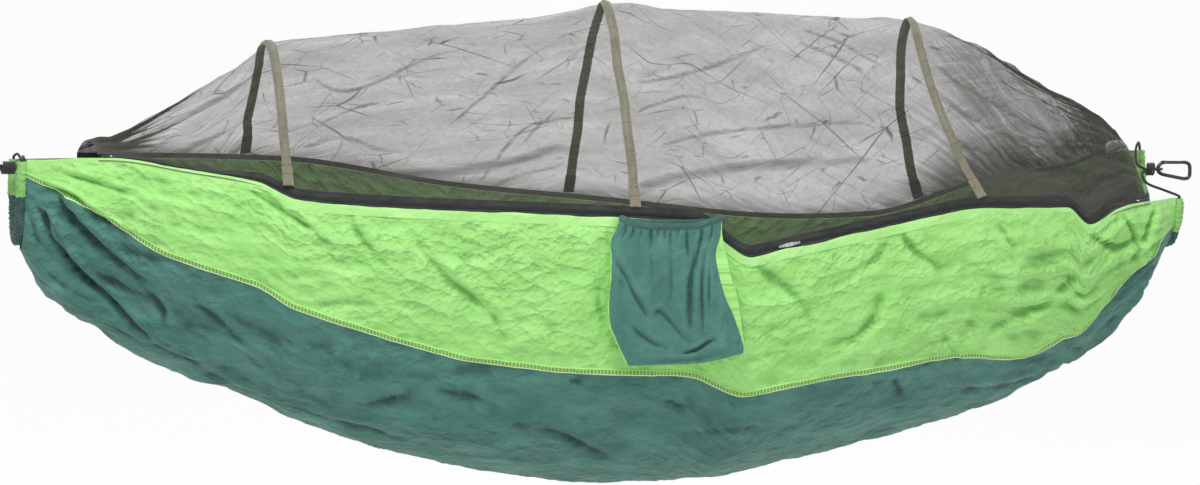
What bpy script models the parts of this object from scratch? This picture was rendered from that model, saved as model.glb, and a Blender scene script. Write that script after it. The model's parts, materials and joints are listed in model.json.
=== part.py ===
"""Hammock tent: a gathered-end hammock with a sewn-on mosquito net that three bent rods hold up.

Lengths are in metres and +Z is up. +X runs along the hammock from its left end to its right end, and -Y is
the front, the side with the zip and the storage sack. The pieces are modelled about the middle of the rim,
and one root empty moves them all so that the world's origin is where the right carabiner bears on its strap.
"""

import math

import bmesh
import bpy
from mathutils import Matrix, Vector

# Driving dimensions of the cloth body
HALF_LENGTH = 1.25
HALF_WIDTH = 0.34
HULL_DEPTH = 0.59
RIM_LIFT = 0.09
NET_HEIGHT = 0.41
END_SKEW = 0.055
CLOTH_THICKNESS = 0.003
NET_THICKNESS = 0.002
END_FOLD_DEPTH = 0.012
NET_LEFT_MARGIN = 0.16
NET_RIGHT_MARGIN = 0.095
NET_END_RISE = 0.005

# Running and sewing gaps
GAP = 0.0003
SEAT_GAP = 0.0005
CUT_OVERRUN = 0.002

# Driving dimensions of the gathered ends
CHANNEL_RADIUS = 0.0115
CHANNEL_RUCHE = 0.0015
CORD_RADIUS = 0.0028
CORD_BORE_SLACK = 0.0012
LASHING_CORD_RADIUS = 0.0025
LASHING_SLACK = 0.0004
LASHING_PITCH_GAP = 0.0005
STRAND_GAP = 0.005
LEFT_TURNS = 5
RIGHT_TURNS = 3

# Driving dimensions of the zip, lower tape to upper tape
ZIP_TAPE_WIDTH = 0.009
ZIP_TAPE_THICKNESS = 0.0008
COIL_HALF_HEIGHT = 0.0026
COIL_THICKNESS = 0.0022
COIL_SPACE = 0.0012
REAR_HEM_HEIGHT = 0.012
STOP_LENGTH = 0.004
STOP_THICKNESS = 0.0008
STOP_INSET = 0.02

# Driving dimensions of the zip sliders and pull tabs
SLIDER_LENGTH = 0.011
SLIDER_HEIGHT = 0.008
SLIDER_PLATE = 0.0009
SLIDER_CLEARANCE = 0.0004
SLIDER_WEB = 0.0006
CROWN_LENGTH = 0.007
CROWN_THICKNESS = 0.0008
CROWN_WIDTH = 0.0012
CROWN_CLEARANCE = 0.0017
TAB_LENGTH = 0.018
TAB_WIDTH = 0.005
TAB_THICKNESS = 0.0009
TAB_HOLE_LENGTH = 0.0065
TAB_HOLE_WIDTH = 0.0022

# Driving dimensions of the arches
ROD_RADIUS = 0.002
TAPE_WIDTH = 0.020
TAPE_EDGE_THICKNESS = 0.0012
TAPE_WALL = 0.0009
POCKET_WIDTH = 0.023
POCKET_LENGTH = 0.046
POCKET_FLOOR = 0.002
ARCH_THREE_LEAN = 0.092

# Driving dimensions of a carabiner
CARABINER_LENGTH = 0.078
CARABINER_WIDTH = 0.044
CARABINER_BAR_RADIUS = 0.004
GATE_RADIUS = 0.0036
GATE_NOSE_GAP = 0.0006
TANG_THICKNESS = 0.003
HINGE_PIN_RADIUS = 0.001
SPRING_RADIUS = 0.0013
SPRING_WIRE_RADIUS = 0.0003
SPRING_PITCH = 0.0018
SPRING_TURNS = 6
GATE_HEEL = 0.0022

# Driving dimensions of the storage sack
SACK_HALF_WIDTH = 0.11
SACK_HEIGHT = 0.306
SACK_CENTRE = 0.077
SACK_LEAN = 0.043
SACK_PUFF = 0.012
SACK_TILT = 0.045
SACK_WALL = 0.0016
SACK_HEM_WALL = 0.001
SACK_HEM_HEIGHT = 0.013
ELASTIC_HEIGHT = 0.007

# Places along the hammock, as shares of HALF_LENGTH from its middle
ARCH_SHARES = (-0.571, 0.0, 0.603)
ZIP_RUN_SHARES = (0.20, 0.524)
SLIDER_MEETING_SHARE = 0.264

# Mesh density
STATION_STEP = 0.1
END_STEP = 0.042
END_ZONE = 0.2
SIDE_ROWS = 4
CENTRE_ROWS = 10
NET_ROWS = 14
NET_ROW_POWER = 0.75
FOLD_WAVES = 6
FOLD_RUNOUT = 8
CHANNEL_POINTS = 17
TUBE_SIDES = 8
SACK_SIDES = 16
LASHING_POINTS = 10
SPRING_POINTS = 8

# Share tables: place along the length as a share of HALF_LENGTH, then a share of the size named beside each
WIDTH_SHARES = (  # of HALF_WIDTH
    (-1, 0.14), (-0.95, 0.26), (-0.88, 0.42), (-0.75, 0.61), (-0.57, 0.77), (-0.3, 0.94), (0, 1),
    (0.3, 0.95), (0.6, 0.81), (0.75, 0.67), (0.88, 0.47), (0.95, 0.3), (1, 0.14),
)
FRONT_RIM_SHARES = (  # of RIM_LIFT
    (-1, 0.9), (-0.85, 1.03), (-0.73, 0.8), (-0.62, 0.55), (-0.55, 0.13), (-0.4, 0), (-0.1, -0.15),
    (0.1, -0.3), (0.2, -1.11), (0.524, -0.17), (0.6, -0.02), (0.76, -0.04), (0.804, -0.45), (0.86, -0.1),
    (0.93, 0.05), (1, 0.1),
)
REAR_RIM_SHARES = (  # of RIM_LIFT
    (-1, 0.9), (-0.86, 0.85), (-0.51, 0.7), (-0.2, 0.05), (0.04, -0.27), (0.39, -0.68), (0.52, -0.6),
    (0.72, 0.29), (0.82, 0.55), (0.95, 1.09), (1, 1.17),
)
KEEL_SHARES = (  # of HULL_DEPTH
    (-1, 0.06), (-0.988, 0.15), (-0.958, 0.26), (-0.918, 0.35), (-0.856, 0.43), (-0.77, 0.55),
    (-0.7, 0.61), (-0.616, 0.675), (-0.46, 0.82), (-0.345, 0.893), (-0.24, 0.946), (-0.1, 0.988), (0, 1),
    (0.17, 0.985), (0.34, 0.92), (0.444, 0.87), (0.56, 0.8), (0.65, 0.732), (0.72, 0.66), (0.79, 0.57),
    (0.858, 0.48), (0.918, 0.37), (0.951, 0.27), (0.973, 0.18), (1, 0.1),
)
SEAM_SHARES = (  # of the hull's own depth at that place
    (-1, 0.12), (-0.88, 0.31), (-0.78, 0.43), (-0.5, 0.48), (-0.25, 0.555), (0.1, 0.57), (0.3, 0.6),
    (0.45, 0.645), (0.6, 0.7), (0.72, 0.79), (0.8, 0.76), (0.88, 0.6), (0.96, 0.44), (1, 0.35),
)
REAR_SEAM_SHARES = (  # of the same depth, for the seam behind
    (-1, 0.12), (-0.88, 0.31), (-0.78, 0.43), (-0.5, 0.48), (-0.25, 0.555), (0.1, 0.57), (0.3, 0.6),
    (0.45, 0.58), (0.55, 0.47), (0.63, 0.3), (0.71, 0.17), (0.8, 0.12), (0.9, 0.14), (1, 0.3),
)
NET_TOP_SHARES = (  # of NET_HEIGHT, straight from one place to the next
    (-1, 0.2), (-0.885, 0.205), (-0.774, 0.385), (-0.688, 0.537), (-0.619, 0.666), (-0.571, 0.8),
    (-0.5, 0.82), (-0.345, 0.865), (-0.122, 0.925), (-0.04, 0.975), (0, 1.01), (0.05, 1.0), (0.1, 0.97),
    (0.27, 0.955), (0.44, 0.94), (0.529, 0.93), (0.582, 0.88), (0.659, 0.778), (0.719, 0.656),
    (0.788, 0.537), (0.856, 0.434), (0.908, 0.317), (0.942, 0.24), (1, 0.23),
)
LEAN_SHARES = ((-1, 0), (0, 0), (0.603, -1), (1, 0))  # of ARCH_THREE_LEAN
ROUNDNESS_SHARES = (  # of half the net's width
    (-1, 4), (-0.8, 0.9), (-0.571, 0.8), (0, 0.36), (0.603, 0.36), (0.8, 0.6), (1, 4),
)

# A carabiner's centreline from the nose round to the gate's hinge, as shares of its length and width
CARABINER_SHARES = (
    (0.74, 0.4), (0.84, 0.4), (0.93, 0.35), (0.985, 0.22), (1.0, 0.06), (1.0, -0.3), (0.985, -0.42),
    (0.93, -0.53), (0.85, -0.56), (0.76, -0.545), (0.2, -0.335), (0.11, -0.28), (0.045, -0.2), (0.0, -0.09),
    (0.0, 0.09), (0.035, 0.22), (0.09, 0.33), (0.14, 0.385), (0.17, 0.4), (0.225, 0.4),
)
TANG_POINTS = 3
HINGE_SHARES = (0.205, 0.4)

# The sack from its hem down: depth, sideways shift, half width and puff, as shares of its own sizes
SACK_SHARES = (
    (0.0, 0.0, 1.0, 0.5), (0.05, -0.04, 1.0, 0.5), (0.25, -0.3, 1.02, 0.85), (0.57, -0.02, 1.14, 1.0),
    (0.78, 0.3, 1.22, 0.8), (0.93, 0.75, 1.12, 0.4), (1.0, 1.0, 1.0, 0.2),
)

# Where each carabiner's inner bar lies, from the cloth's end on the middle line at the rim's level
LEFT_BAR_OFFSET = (-0.029, 0.0, 0.066)
RIGHT_BAR_OFFSET = (-0.043, 0.0, 0.067)
LEFT_FLOP_DEG = 95.0
LEFT_TILT_DEG = 29.0

# The free stretch of each gathering cord from its lashing to the channel's front end, then to its rear end,
# from the same places as the bars
LEFT_FRONT_ROUTE = ((0.022, -0.013, 0.07), (0.022, -0.027, 0.083), (0.018, -0.041, 0.092))
LEFT_REAR_ROUTE = ((0.022, 0.013, 0.072), (0.022, 0.027, 0.085), (0.018, 0.041, 0.092))
RIGHT_FRONT_ROUTE = ((-0.081, -0.012, 0.056), (-0.072, -0.022, 0.038), (-0.04, -0.037, 0.025))
RIGHT_REAR_ROUTE = ((-0.087, 0.01, 0.078), (-0.086, 0.024, 0.106), (-0.076, 0.041, 0.121))

SMOOTH_ANGLE = math.radians(50)
MILLIMETRES = 1000


def clear_scene():
    for old in list(bpy.data.objects):
        bpy.data.objects.remove(old, do_unlink=True)


def material(name, colour, roughness, metallic=0.0):
    made = bpy.data.materials.new(name)
    made.use_nodes = True
    shader = made.node_tree.nodes["Principled BSDF"]
    shader.inputs["Base Color"].default_value = (*colour, 1.0)
    shader.inputs["Roughness"].default_value = roughness
    shader.inputs["Metallic"].default_value = metallic
    return made


def add_empty(name, matrix, parent):
    axis = bpy.data.objects.new(name, None)
    bpy.context.scene.collection.objects.link(axis)
    axis.parent = parent
    axis.matrix_local = matrix
    return axis


def add_mesh(name, points, faces, look, parent):
    """One closed body from points and faces, with its faces turned outwards."""
    mesh = bpy.data.meshes.new(name)
    mesh.from_pydata([tuple(p) for p in points], [], faces)
    shape = bmesh.new()
    shape.from_mesh(mesh)
    bmesh.ops.recalc_face_normals(shape, faces=shape.faces)
    shape.to_mesh(mesh)
    shape.free()
    mesh.shade_smooth()
    mesh.set_sharp_from_angle(angle=SMOOTH_ANGLE)
    mesh.materials.append(look)
    part = bpy.data.objects.new(name, mesh)
    bpy.context.scene.collection.objects.link(part)
    part.parent = parent
    return part


def add_tube(name, points, radius, look, parent, cyclic=False, resolution=2):
    """A round cord, rod or wire along the points, as a bevelled curve with filled ends."""
    curve = bpy.data.curves.new(name, "CURVE")
    curve.dimensions = "3D"
    curve.bevel_depth = radius
    curve.bevel_resolution = resolution
    curve.use_fill_caps = True
    spline = curve.splines.new("POLY")
    spline.points.add(len(points) - 1)
    for slot, place in zip(spline.points, points):
        slot.co = (*place, 1.0)
    spline.use_cyclic_u = cyclic
    curve.materials.append(look)
    tube = bpy.data.objects.new(name, curve)
    bpy.context.scene.collection.objects.link(tube)
    tube.parent = parent
    return tube


def cut(part, cutter):
    """Takes the cutter's shape out of the part."""
    cutter.hide_render = True
    cutter.display_type = "WIRE"
    boolean = part.modifiers.new(cutter.name, "BOOLEAN")
    boolean.operation = "DIFFERENCE"
    boolean.object = cutter


def rings_to_faces(count, sides, first=0, wrap=False):
    """The side faces between rings of equally many points."""
    faces = []
    for ring in range(count if wrap else count - 1):
        here, there = first + ring * sides, first + (ring + 1) % count * sides
        for k in range(sides):
            after = (k + 1) % sides
            faces.append((here + k, here + after, there + after, there + k))
    return faces


def add_loft(name, rings, look, parent, wrap=False):
    """A solid through rings of points, with flat ends unless it closes on itself."""
    sides = len(rings[0])
    faces = rings_to_faces(len(rings), sides, wrap=wrap)
    if not wrap:
        last = (len(rings) - 1) * sides
        faces += [tuple(range(sides)), tuple(range(last, last + sides))]
    return add_mesh(name, [p for ring in rings for p in ring], faces, look, parent)


def add_sleeve(name, outer, inner, look, parent, blind_start=False, blind_end=False):
    """A wall between outer and inner rings: open at both ends, or closed at an end that is blind."""
    sides = len(outer[0])
    points = [p for ring in outer + inner for p in ring]
    start = len(outer) * sides
    faces = rings_to_faces(len(outer), sides)
    faces += rings_to_faces(len(inner), sides, first=start)
    ends = ((0, start, blind_start), (start - sides, len(points) - sides, blind_end))
    for out, into, blind in ends:
        if blind:
            faces += [tuple(range(out, out + sides)), tuple(range(into, into + sides))]
            continue
        for k in range(sides):
            after = (k + 1) % sides
            faces.append((out + k, out + after, into + after, into + k))
    return add_mesh(name, points, faces, look, parent)


def add_shell(name, middle, normals, thickness, look, parent):
    """A sheet of cloth with thickness about a grid of middle points."""
    columns, rows = len(middle), len(middle[0])
    half = thickness / 2
    outer = [middle[i][j] + normals[i][j] * half for i in range(columns) for j in range(rows)]
    inner = [middle[i][j] - normals[i][j] * half for i in range(columns) for j in range(rows)]
    under = len(outer)
    faces = []
    for i in range(columns - 1):
        for j in range(rows - 1):
            a, b, c, d = i * rows + j, (i + 1) * rows + j, (i + 1) * rows + j + 1, i * rows + j + 1
            faces += [(a, b, c, d), (under + d, under + c, under + b, under + a)]
    edge = [i * rows for i in range(columns)]
    edge += [(columns - 1) * rows + j for j in range(1, rows)]
    edge += [i * rows + rows - 1 for i in range(columns - 2, -1, -1)]
    edge += list(range(rows - 2, 0, -1))
    for k, a in enumerate(edge):
        b = edge[(k + 1) % len(edge)]
        faces.append((a, b, under + b, under + a))
    return add_mesh(name, outer + inner, faces, look, parent)


def linear_share(table, place):
    """The table's value at a place, on straight lines between its rows."""
    for (x0, v0), (x1, v1) in zip(table, table[1:]):
        if place <= x1:
            return v0 + (v1 - v0) * (place - x0) / (x1 - x0)
    return table[-1][1]


def smooth_share(table, place):
    """The table's value at a place, on a smooth curve that never overshoots its rows."""
    place = min(max(place, table[0][0]), table[-1][0])
    row = next(k for k in range(len(table) - 1) if place <= table[k + 1][0])
    slopes = [(b[1] - a[1]) / (b[0] - a[0]) for a, b in zip(table, table[1:])]

    def tangent(k):
        if k in (0, len(slopes)):
            return slopes[min(k, len(slopes) - 1)]
        before, after = slopes[k - 1], slopes[k]
        return 0.0 if before * after <= 0 else 2 * before * after / (before + after)

    (x0, v0), (x1, v1) = table[row], table[row + 1]
    span = x1 - x0
    t = (place - x0) / span
    rise = (t * t * (3 - 2 * t)) * (v1 - v0)
    bend = span * (t * (1 - t) ** 2 * tangent(row) - t * t * (1 - t) * tangent(row + 1))
    return v0 + rise + bend


def place_share(x):
    return x / HALF_LENGTH


def half_width(x):
    return HALF_WIDTH * smooth_share(WIDTH_SHARES, place_share(x))


def rear_rim(x):
    return RIM_LIFT * smooth_share(REAR_RIM_SHARES, place_share(x))


def keel(x):
    return -HULL_DEPTH * smooth_share(KEEL_SHARES, place_share(x))


def zip_run():
    """The two ends of the stretch where the front rim, and so the zip, runs straight."""
    ends = []
    for share in ZIP_RUN_SHARES:
        x = share * HALF_LENGTH
        ends.append(Vector((x, -half_width(x), RIM_LIFT * smooth_share(FRONT_RIM_SHARES, share))))
    return ends


def front_edge(x):
    """The front rim's point at x, on the straight zip run between its two ends."""
    start, end = zip_run()
    if start.x < x < end.x:
        return start.lerp(end, (x - start.x) / (end.x - start.x))
    return Vector((x, -half_width(x), RIM_LIFT * smooth_share(FRONT_RIM_SHARES, place_share(x))))


def end_skew(x):
    """How far the rear rim falls back behind the front rim near the right end."""
    zone = min(max((x - HALF_LENGTH + END_ZONE) / END_ZONE, 0.0), 1.0)
    return END_SKEW * zone * zone * (3 - 2 * zone)


def panel_end():
    return HALF_LENGTH - 2 * (CHANNEL_RADIUS + CHANNEL_RUCHE) - GAP


def net_ends():
    """Where the net and the zip end, left and right."""
    return NET_LEFT_MARGIN - HALF_LENGTH, HALF_LENGTH - NET_RIGHT_MARGIN


def arch_places():
    return [share * HALF_LENGTH for share in ARCH_SHARES]


def stations(limits):
    """Places along the length, closer near the ends, with a narrow flat seat under each arch."""
    seats = [x + side * POCKET_WIDTH / 2 for x in arch_places() for side in (-1.1, 0.0, 1.1)]
    run = [share * HALF_LENGTH for share in ZIP_RUN_SHARES]
    zone = HALF_LENGTH - END_ZONE
    marks = sorted({-panel_end(), *net_ends(), -zone, *seats, *run, zone, panel_end()})
    places = [marks[0]]
    for a, b in zip(marks, marks[1:]):
        step = END_STEP if min(abs(a), abs(b)) >= zone else STATION_STEP
        count = max(1, math.ceil((b - a) / step - 0.2))
        places += [a + (b - a) * k / count for k in range(1, count + 1)]
    low, high = limits
    return [x for x in places if low - GAP / 10 <= x <= high + GAP / 10]


def hull_point(x, angle):
    """The hull's cross-section at x: angle 0 is the front rim, 90 degrees the keel and 180 the rear rim."""
    front = front_edge(x)
    across = math.cos(angle)
    y = front.y * across if across > 0 else -half_width(x) * across
    mix = (1 - across) / 2
    sag = (front.z + rear_rim(x)) / 2 - keel(x)
    fade = max(0.0, (abs(x) - HALF_LENGTH / 2) / (panel_end() - HALF_LENGTH / 2))
    fade *= min(1.0, (1 - fade) * FOLD_RUNOUT)
    fold = END_FOLD_DEPTH * fade * math.sin(FOLD_WAVES * angle)
    z = front.z + (rear_rim(x) - front.z) * mix - sag * math.sin(angle)
    return Vector((x - end_skew(x) * mix, y - fold * across, z - fold * math.sin(angle)))


def net_point(x, across):
    """The net's cross-section at x: across is -1 at the zip, 0 at the ridge and 1 at the rear hem."""
    lean = ARCH_THREE_LEAN * linear_share(LEAN_SHARES, place_share(x))
    ridge = NET_HEIGHT * linear_share(NET_TOP_SHARES, place_share(x + lean))
    front = front_edge(x)
    front_z, rear_z = front.z + zip_height(), rear_rim(x) + REAR_HEM_HEIGHT + GAP
    side_y, side_z = (-front.y, front_z) if across < 0 else (half_width(x), rear_z)
    ridge = max(ridge, front_z + NET_END_RISE, rear_z + NET_END_RISE)
    round_top = linear_share(ROUNDNESS_SHARES, place_share(x))
    fall = (math.hypot(across, round_top) - round_top) / (math.hypot(1, round_top) - round_top)
    return Vector((
        x + lean * (1 - fall * fall) - end_skew(x) * (1 + across) / 2,
        side_y * across,
        ridge - (ridge - side_z) * fall,
    ))


def net_across(row):
    """Where a net row lies between the two edges: the rows are closer together near the edges."""
    t = 2 * row / NET_ROWS - 1
    return math.copysign(abs(t) ** NET_ROW_POWER, t)


def zip_height():
    """From the hull's front rim to the net's front edge: two tapes, two coil halves and their gaps."""
    return 2 * (ZIP_TAPE_WIDTH + GAP + COIL_HALF_HEIGHT) + COIL_SPACE + 2 * GAP


def grid_normals(grid, level_rows=()):
    """The outward normal at each point of a grid, level at the rows named."""
    columns, rows = len(grid), len(grid[0])
    normals = []
    for i in range(columns):
        column = []
        for j in range(rows):
            along = grid[min(i + 1, columns - 1)][j] - grid[max(i - 1, 0)][j]
            over = grid[i][min(j + 1, rows - 1)] - grid[i][max(j - 1, 0)]
            normal = over.cross(along)
            if j in level_rows:
                normal.z = 0.0
            column.append(normal.normalized())
        normals.append(column)
    return normals


def build_hull(looks, root):
    """The three sewn panels: lime front, teal centre and lime rear, split along the two long seams."""
    places = stations((-panel_end(), panel_end()))
    grid = []
    for x in places:
        seam = math.asin(smooth_share(SEAM_SHARES, place_share(x)))
        rear = math.asin(smooth_share(REAR_SEAM_SHARES, place_share(x)))
        angles = [seam * k / SIDE_ROWS for k in range(SIDE_ROWS)]
        angles += [seam + (math.pi - seam - rear) * k / CENTRE_ROWS for k in range(CENTRE_ROWS)]
        angles += [math.pi - rear + rear * k / SIDE_ROWS for k in range(SIDE_ROWS + 1)]
        grid.append([hull_point(x, angle) for angle in angles])
    last = len(grid[0]) - 1
    normals = [[-n for n in column] for column in grid_normals(grid, (0, last))]
    panels = (
        ("hull_front_panel", 0, SIDE_ROWS, looks["lime"]),
        ("hull_centre_panel", SIDE_ROWS, last - SIDE_ROWS, looks["teal"]),
        ("hull_rear_panel", last - SIDE_ROWS, last, looks["lime"]),
    )
    for name, first, end, look in panels:
        middle = []
        for column in grid:
            rows = [p.copy() for p in column[first:end + 1]]
            if first > 0:
                rows[0] += (column[first + 1] - column[first]).normalized() * GAP / 2
            if end < last:
                rows[-1] -= (column[end] - column[end - 1]).normalized() * GAP / 2
            middle.append(rows)
        side = [column[first:end + 1] for column in normals]
        add_shell(name, middle, side, CLOTH_THICKNESS, look, root)


def build_net(looks, root):
    """The mosquito net, sewn to the zip in front and to the rear hem behind."""
    grid = [[net_point(x, net_across(row)) for row in range(NET_ROWS + 1)] for x in stations(net_ends())]
    add_shell("mosquito_net", grid, grid_normals(grid, (0, NET_ROWS)), NET_THICKNESS, looks["net"], root)


def add_band(name, edge, low, high, thickness, look, root):
    """An upright strip that follows a rim from one height above it to another."""
    rings = []
    for i, (place, ahead) in enumerate(edge):
        side = Vector((-ahead.y, ahead.x, 0)).normalized() * thickness / 2
        up = Vector((0, 0, 1))
        rings.append([place + up * low - side, place + up * low + side,
                      place + up * high + side, place + up * high - side])
    add_loft(name, rings, look, root)


def rim_line(points):
    """Each point of a rim with the rim's direction there."""
    line = []
    for i, place in enumerate(points):
        ahead = points[min(i + 1, len(points) - 1)] - points[max(i - 1, 0)]
        line.append((place, ahead))
    return line


def coil_bottom():
    return GAP + ZIP_TAPE_WIDTH + GAP


def zip_middle():
    return coil_bottom() + COIL_HALF_HEIGHT + COIL_SPACE / 2


def build_zip_tapes(looks, root):
    """Both zip tapes and both halves of the coil along the front rim, and the net's hem along the rear one."""
    front = rim_line([front_edge(x) for x in stations(net_ends())])
    rear = rim_line([hull_point(x, math.pi) for x in stations(net_ends())])
    upper_coil = coil_bottom() + COIL_HALF_HEIGHT + COIL_SPACE
    upper_tape = upper_coil + COIL_HALF_HEIGHT + GAP
    add_band("zip_lower_tape", front, GAP, GAP + ZIP_TAPE_WIDTH, ZIP_TAPE_THICKNESS, looks["zip"], root)
    add_band("zip_coil_lower", front, coil_bottom(), coil_bottom() + COIL_HALF_HEIGHT,
             COIL_THICKNESS, looks["coil"], root)
    add_band("zip_coil_upper", front, upper_coil, upper_coil + COIL_HALF_HEIGHT,
             COIL_THICKNESS, looks["coil"], root)
    add_band("zip_upper_tape", front, upper_tape, zip_height() - GAP, ZIP_TAPE_THICKNESS, looks["zip"], root)
    add_band("net_rear_hem", rear, GAP, REAR_HEM_HEIGHT, NET_THICKNESS, looks["zip"], root)


def box_points(x0, x1, y0, y1, z0, z1):
    return [Vector((x, y, z)) for x in (x0, x1) for y, z in ((y0, z0), (y1, z0), (y1, z1), (y0, z1))]


def add_box(name, x0, x1, y0, y1, z0, z1, look, parent):
    points = box_points(x0, x1, y0, y1, z0, z1)
    return add_loft(name, [points[:4], points[4:]], look, parent)


def zip_frame(share):
    """A frame on the zip's middle line: X along the zip towards the right end, Y inwards, Z across it."""
    start, end = zip_run()
    along = (end - start).normalized()
    inward = Vector((-along.y, along.x, 0)).normalized()
    across = along.cross(inward)
    if ZIP_RUN_SHARES[0] <= share <= ZIP_RUN_SHARES[1]:
        place = start.lerp(end, (share * HALF_LENGTH - start.x) / (end.x - start.x))
    else:
        place = front_edge(share * HALF_LENGTH)
    place = place + Vector((0, 0, zip_middle()))
    turned = Matrix((along, inward, across)).transposed()
    return Matrix.Translation(place) @ turned.to_4x4()


def add_profile(name, outline, x0, x1, look, parent):
    """An outline of (y, z) points drawn out along X."""
    rings = [[Vector((x, y, z)) for y, z in outline] for x in (x0, x1)]
    return add_loft(name, rings, look, parent)


def build_slider(side, looks, root):
    """A zip slider and its pull tab: two plates round the coil, a web between its halves and a crown."""
    outward = -1 if side == "left" else 1
    middle = SLIDER_LENGTH / 2 + GAP
    frame = zip_frame(SLIDER_MEETING_SHARE) @ Matrix.Translation((outward * middle, 0, 0))
    axis = add_empty(f"zip_slider_{side}_origin", frame, root)
    inner, outer = COIL_THICKNESS / 2 + SLIDER_CLEARANCE, COIL_THICKNESS / 2 + SLIDER_CLEARANCE + SLIDER_PLATE
    web, tall = SLIDER_WEB / 2, SLIDER_HEIGHT / 2
    half_outline = [(-outer, -tall), (-inner, -tall), (-inner, -web), (inner, -web), (inner, -tall), (outer, -tall)]
    outline = half_outline + [(y, -z) for y, z in reversed(half_outline)]
    half = SLIDER_LENGTH / 2
    body = add_profile(f"zip_slider_{side}", outline, -half, half, looks["silver"], axis)
    arm, top = CROWN_LENGTH / 2, outer + CROWN_CLEARANCE
    crown = [(-arm, -outer + web), (-arm, -top - CROWN_THICKNESS), (arm, -top - CROWN_THICKNESS),
             (arm, -outer + web), (arm - CROWN_THICKNESS, -outer + web), (arm - CROWN_THICKNESS, -top),
             (CROWN_THICKNESS - arm, -top), (CROWN_THICKNESS - arm, -outer + web)]
    rings = [[Vector((x, y, z)) for x, y in crown] for z in (-CROWN_WIDTH / 2, CROWN_WIDTH / 2)]
    bridge = add_loft(f"zip_slider_{side}_crown", rings, looks["silver"], axis)
    join(body, bridge)
    pivot = add_empty(f"zip_pull_tab_{side}_axis", Matrix.Translation((0, -outer - CROWN_CLEARANCE / 2, 0)), axis)
    tab_half, tab_thin = TAB_WIDTH / 2, TAB_THICKNESS / 2
    near = outward * -tab_thin
    far = outward * (TAB_LENGTH - tab_thin)
    tab = add_box(f"zip_pull_tab_{side}", min(near, far), max(near, far), -tab_thin, tab_thin,
                  -tab_half, tab_half, looks["silver"], pivot)
    hole_near, hole_far = outward * tab_thin, outward * (tab_thin + TAB_HOLE_LENGTH)
    hole = add_box(f"zip_pull_tab_{side}_hole", min(hole_near, hole_far), max(hole_near, hole_far),
                   -CUT_OVERRUN, CUT_OVERRUN, -TAB_HOLE_WIDTH / 2, TAB_HOLE_WIDTH / 2, looks["silver"], pivot)
    cut(tab, hole)


def join(part, extra):
    """Makes the extra piece one body with the part."""
    extra.hide_render = True
    extra.display_type = "WIRE"
    boolean = part.modifiers.new(extra.name, "BOOLEAN")
    boolean.operation = "UNION"
    boolean.object = extra


def build_stop(side, looks, root):
    """The metal stop that keeps a slider on the zip, clamped on the coil's front face near its end."""
    low, high = net_ends()
    x = low + STOP_INSET if side == "left" else high - STOP_INSET
    place = front_edge(x)
    ahead = front_edge(x + STOP_LENGTH) - front_edge(x - STOP_LENGTH)
    along = ahead.normalized()
    inward = Vector((-along.y, along.x, 0)).normalized()
    turned = Matrix((along, inward, along.cross(inward))).transposed()
    frame = Matrix.Translation(place + Vector((0, 0, zip_middle()))) @ turned.to_4x4()
    axis = add_empty(f"zip_stop_{side}_origin", frame, root)
    near = COIL_THICKNESS / 2 + SEAT_GAP
    tall = COIL_HALF_HEIGHT + COIL_SPACE / 2
    add_box(f"zip_stop_{side}", -STOP_LENGTH / 2, STOP_LENGTH / 2, -near - STOP_THICKNESS, -near,
            -tall, tall, looks["silver"], axis)


def arch_path(x):
    """The arch's route over the net at x, with the pocket tops as extra points, and a frame at each point."""
    rows = [net_point(x, net_across(row)) for row in range(NET_ROWS + 1)]
    step = TAPE_WIDTH / 2
    sides = [net_point(x + step, net_across(row)) - net_point(x - step, net_across(row))
             for row in range(NET_ROWS + 1)]
    front_top = rows[0] + (rows[1] - rows[0]).normalized() * POCKET_LENGTH
    rear_top = rows[-1] + (rows[-2] - rows[-1]).normalized() * POCKET_LENGTH
    route = [rows[0], front_top, *rows[1:-1], rear_top, rows[-1]]
    across = [sides[0], sides[0], *sides[1:-1], sides[-1], sides[-1]]
    frames = []
    for i, place in enumerate(route):
        before = (place - route[i - 1]).normalized() if i > 0 else Vector()
        after = (route[i + 1] - place).normalized() if i + 1 < len(route) else Vector()
        tangent = (before + after).normalized()
        width = (across[i] - tangent * across[i].dot(tangent)).normalized()
        frames.append((place, width, tangent.cross(width) * -1))
    return frames


def ring_on(frame, outline, lift):
    """An outline of (sideways, outwards) points on an arch frame, lifted clear of the net."""
    place, width, outwards = frame
    return [place + width * a + outwards * (b + lift) for a, b in outline]


def tunnel_outlines(width):
    """A webbing tunnel's outer and bore outlines: flat sewn edges and a raised middle round the rod."""
    bore = (ROD_RADIUS + GAP) / math.cos(math.pi / TUBE_SIDES)
    crown, middle = bore + TAPE_WALL, TAPE_WALL + bore
    top = middle + crown
    half, flat = width / 2, TAPE_EDGE_THICKNESS
    outer = [(-half, 0), (half, 0), (half, flat), (crown + flat, flat * 1.5), (crown / 2, top),
             (-crown / 2, top), (-crown - flat, flat * 1.5), (-half, flat)]
    angles = [math.atan2(b - middle, a) for a, b in outer]
    inner = [(bore * math.cos(angle), middle + bore * math.sin(angle)) for angle in angles]
    return outer, inner, middle


def bore_outline(middle):
    """An evenly stepped bore outline, turned so that its points stand against the outer outline's."""
    bore = (ROD_RADIUS + GAP) / math.cos(math.pi / TUBE_SIDES)
    start = -math.pi / 2 - math.pi / TUBE_SIDES
    turn = 2 * math.pi / TUBE_SIDES
    return [(bore * math.cos(start + turn * k), middle + bore * math.sin(start + turn * k))
            for k in range(TUBE_SIDES)]


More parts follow.
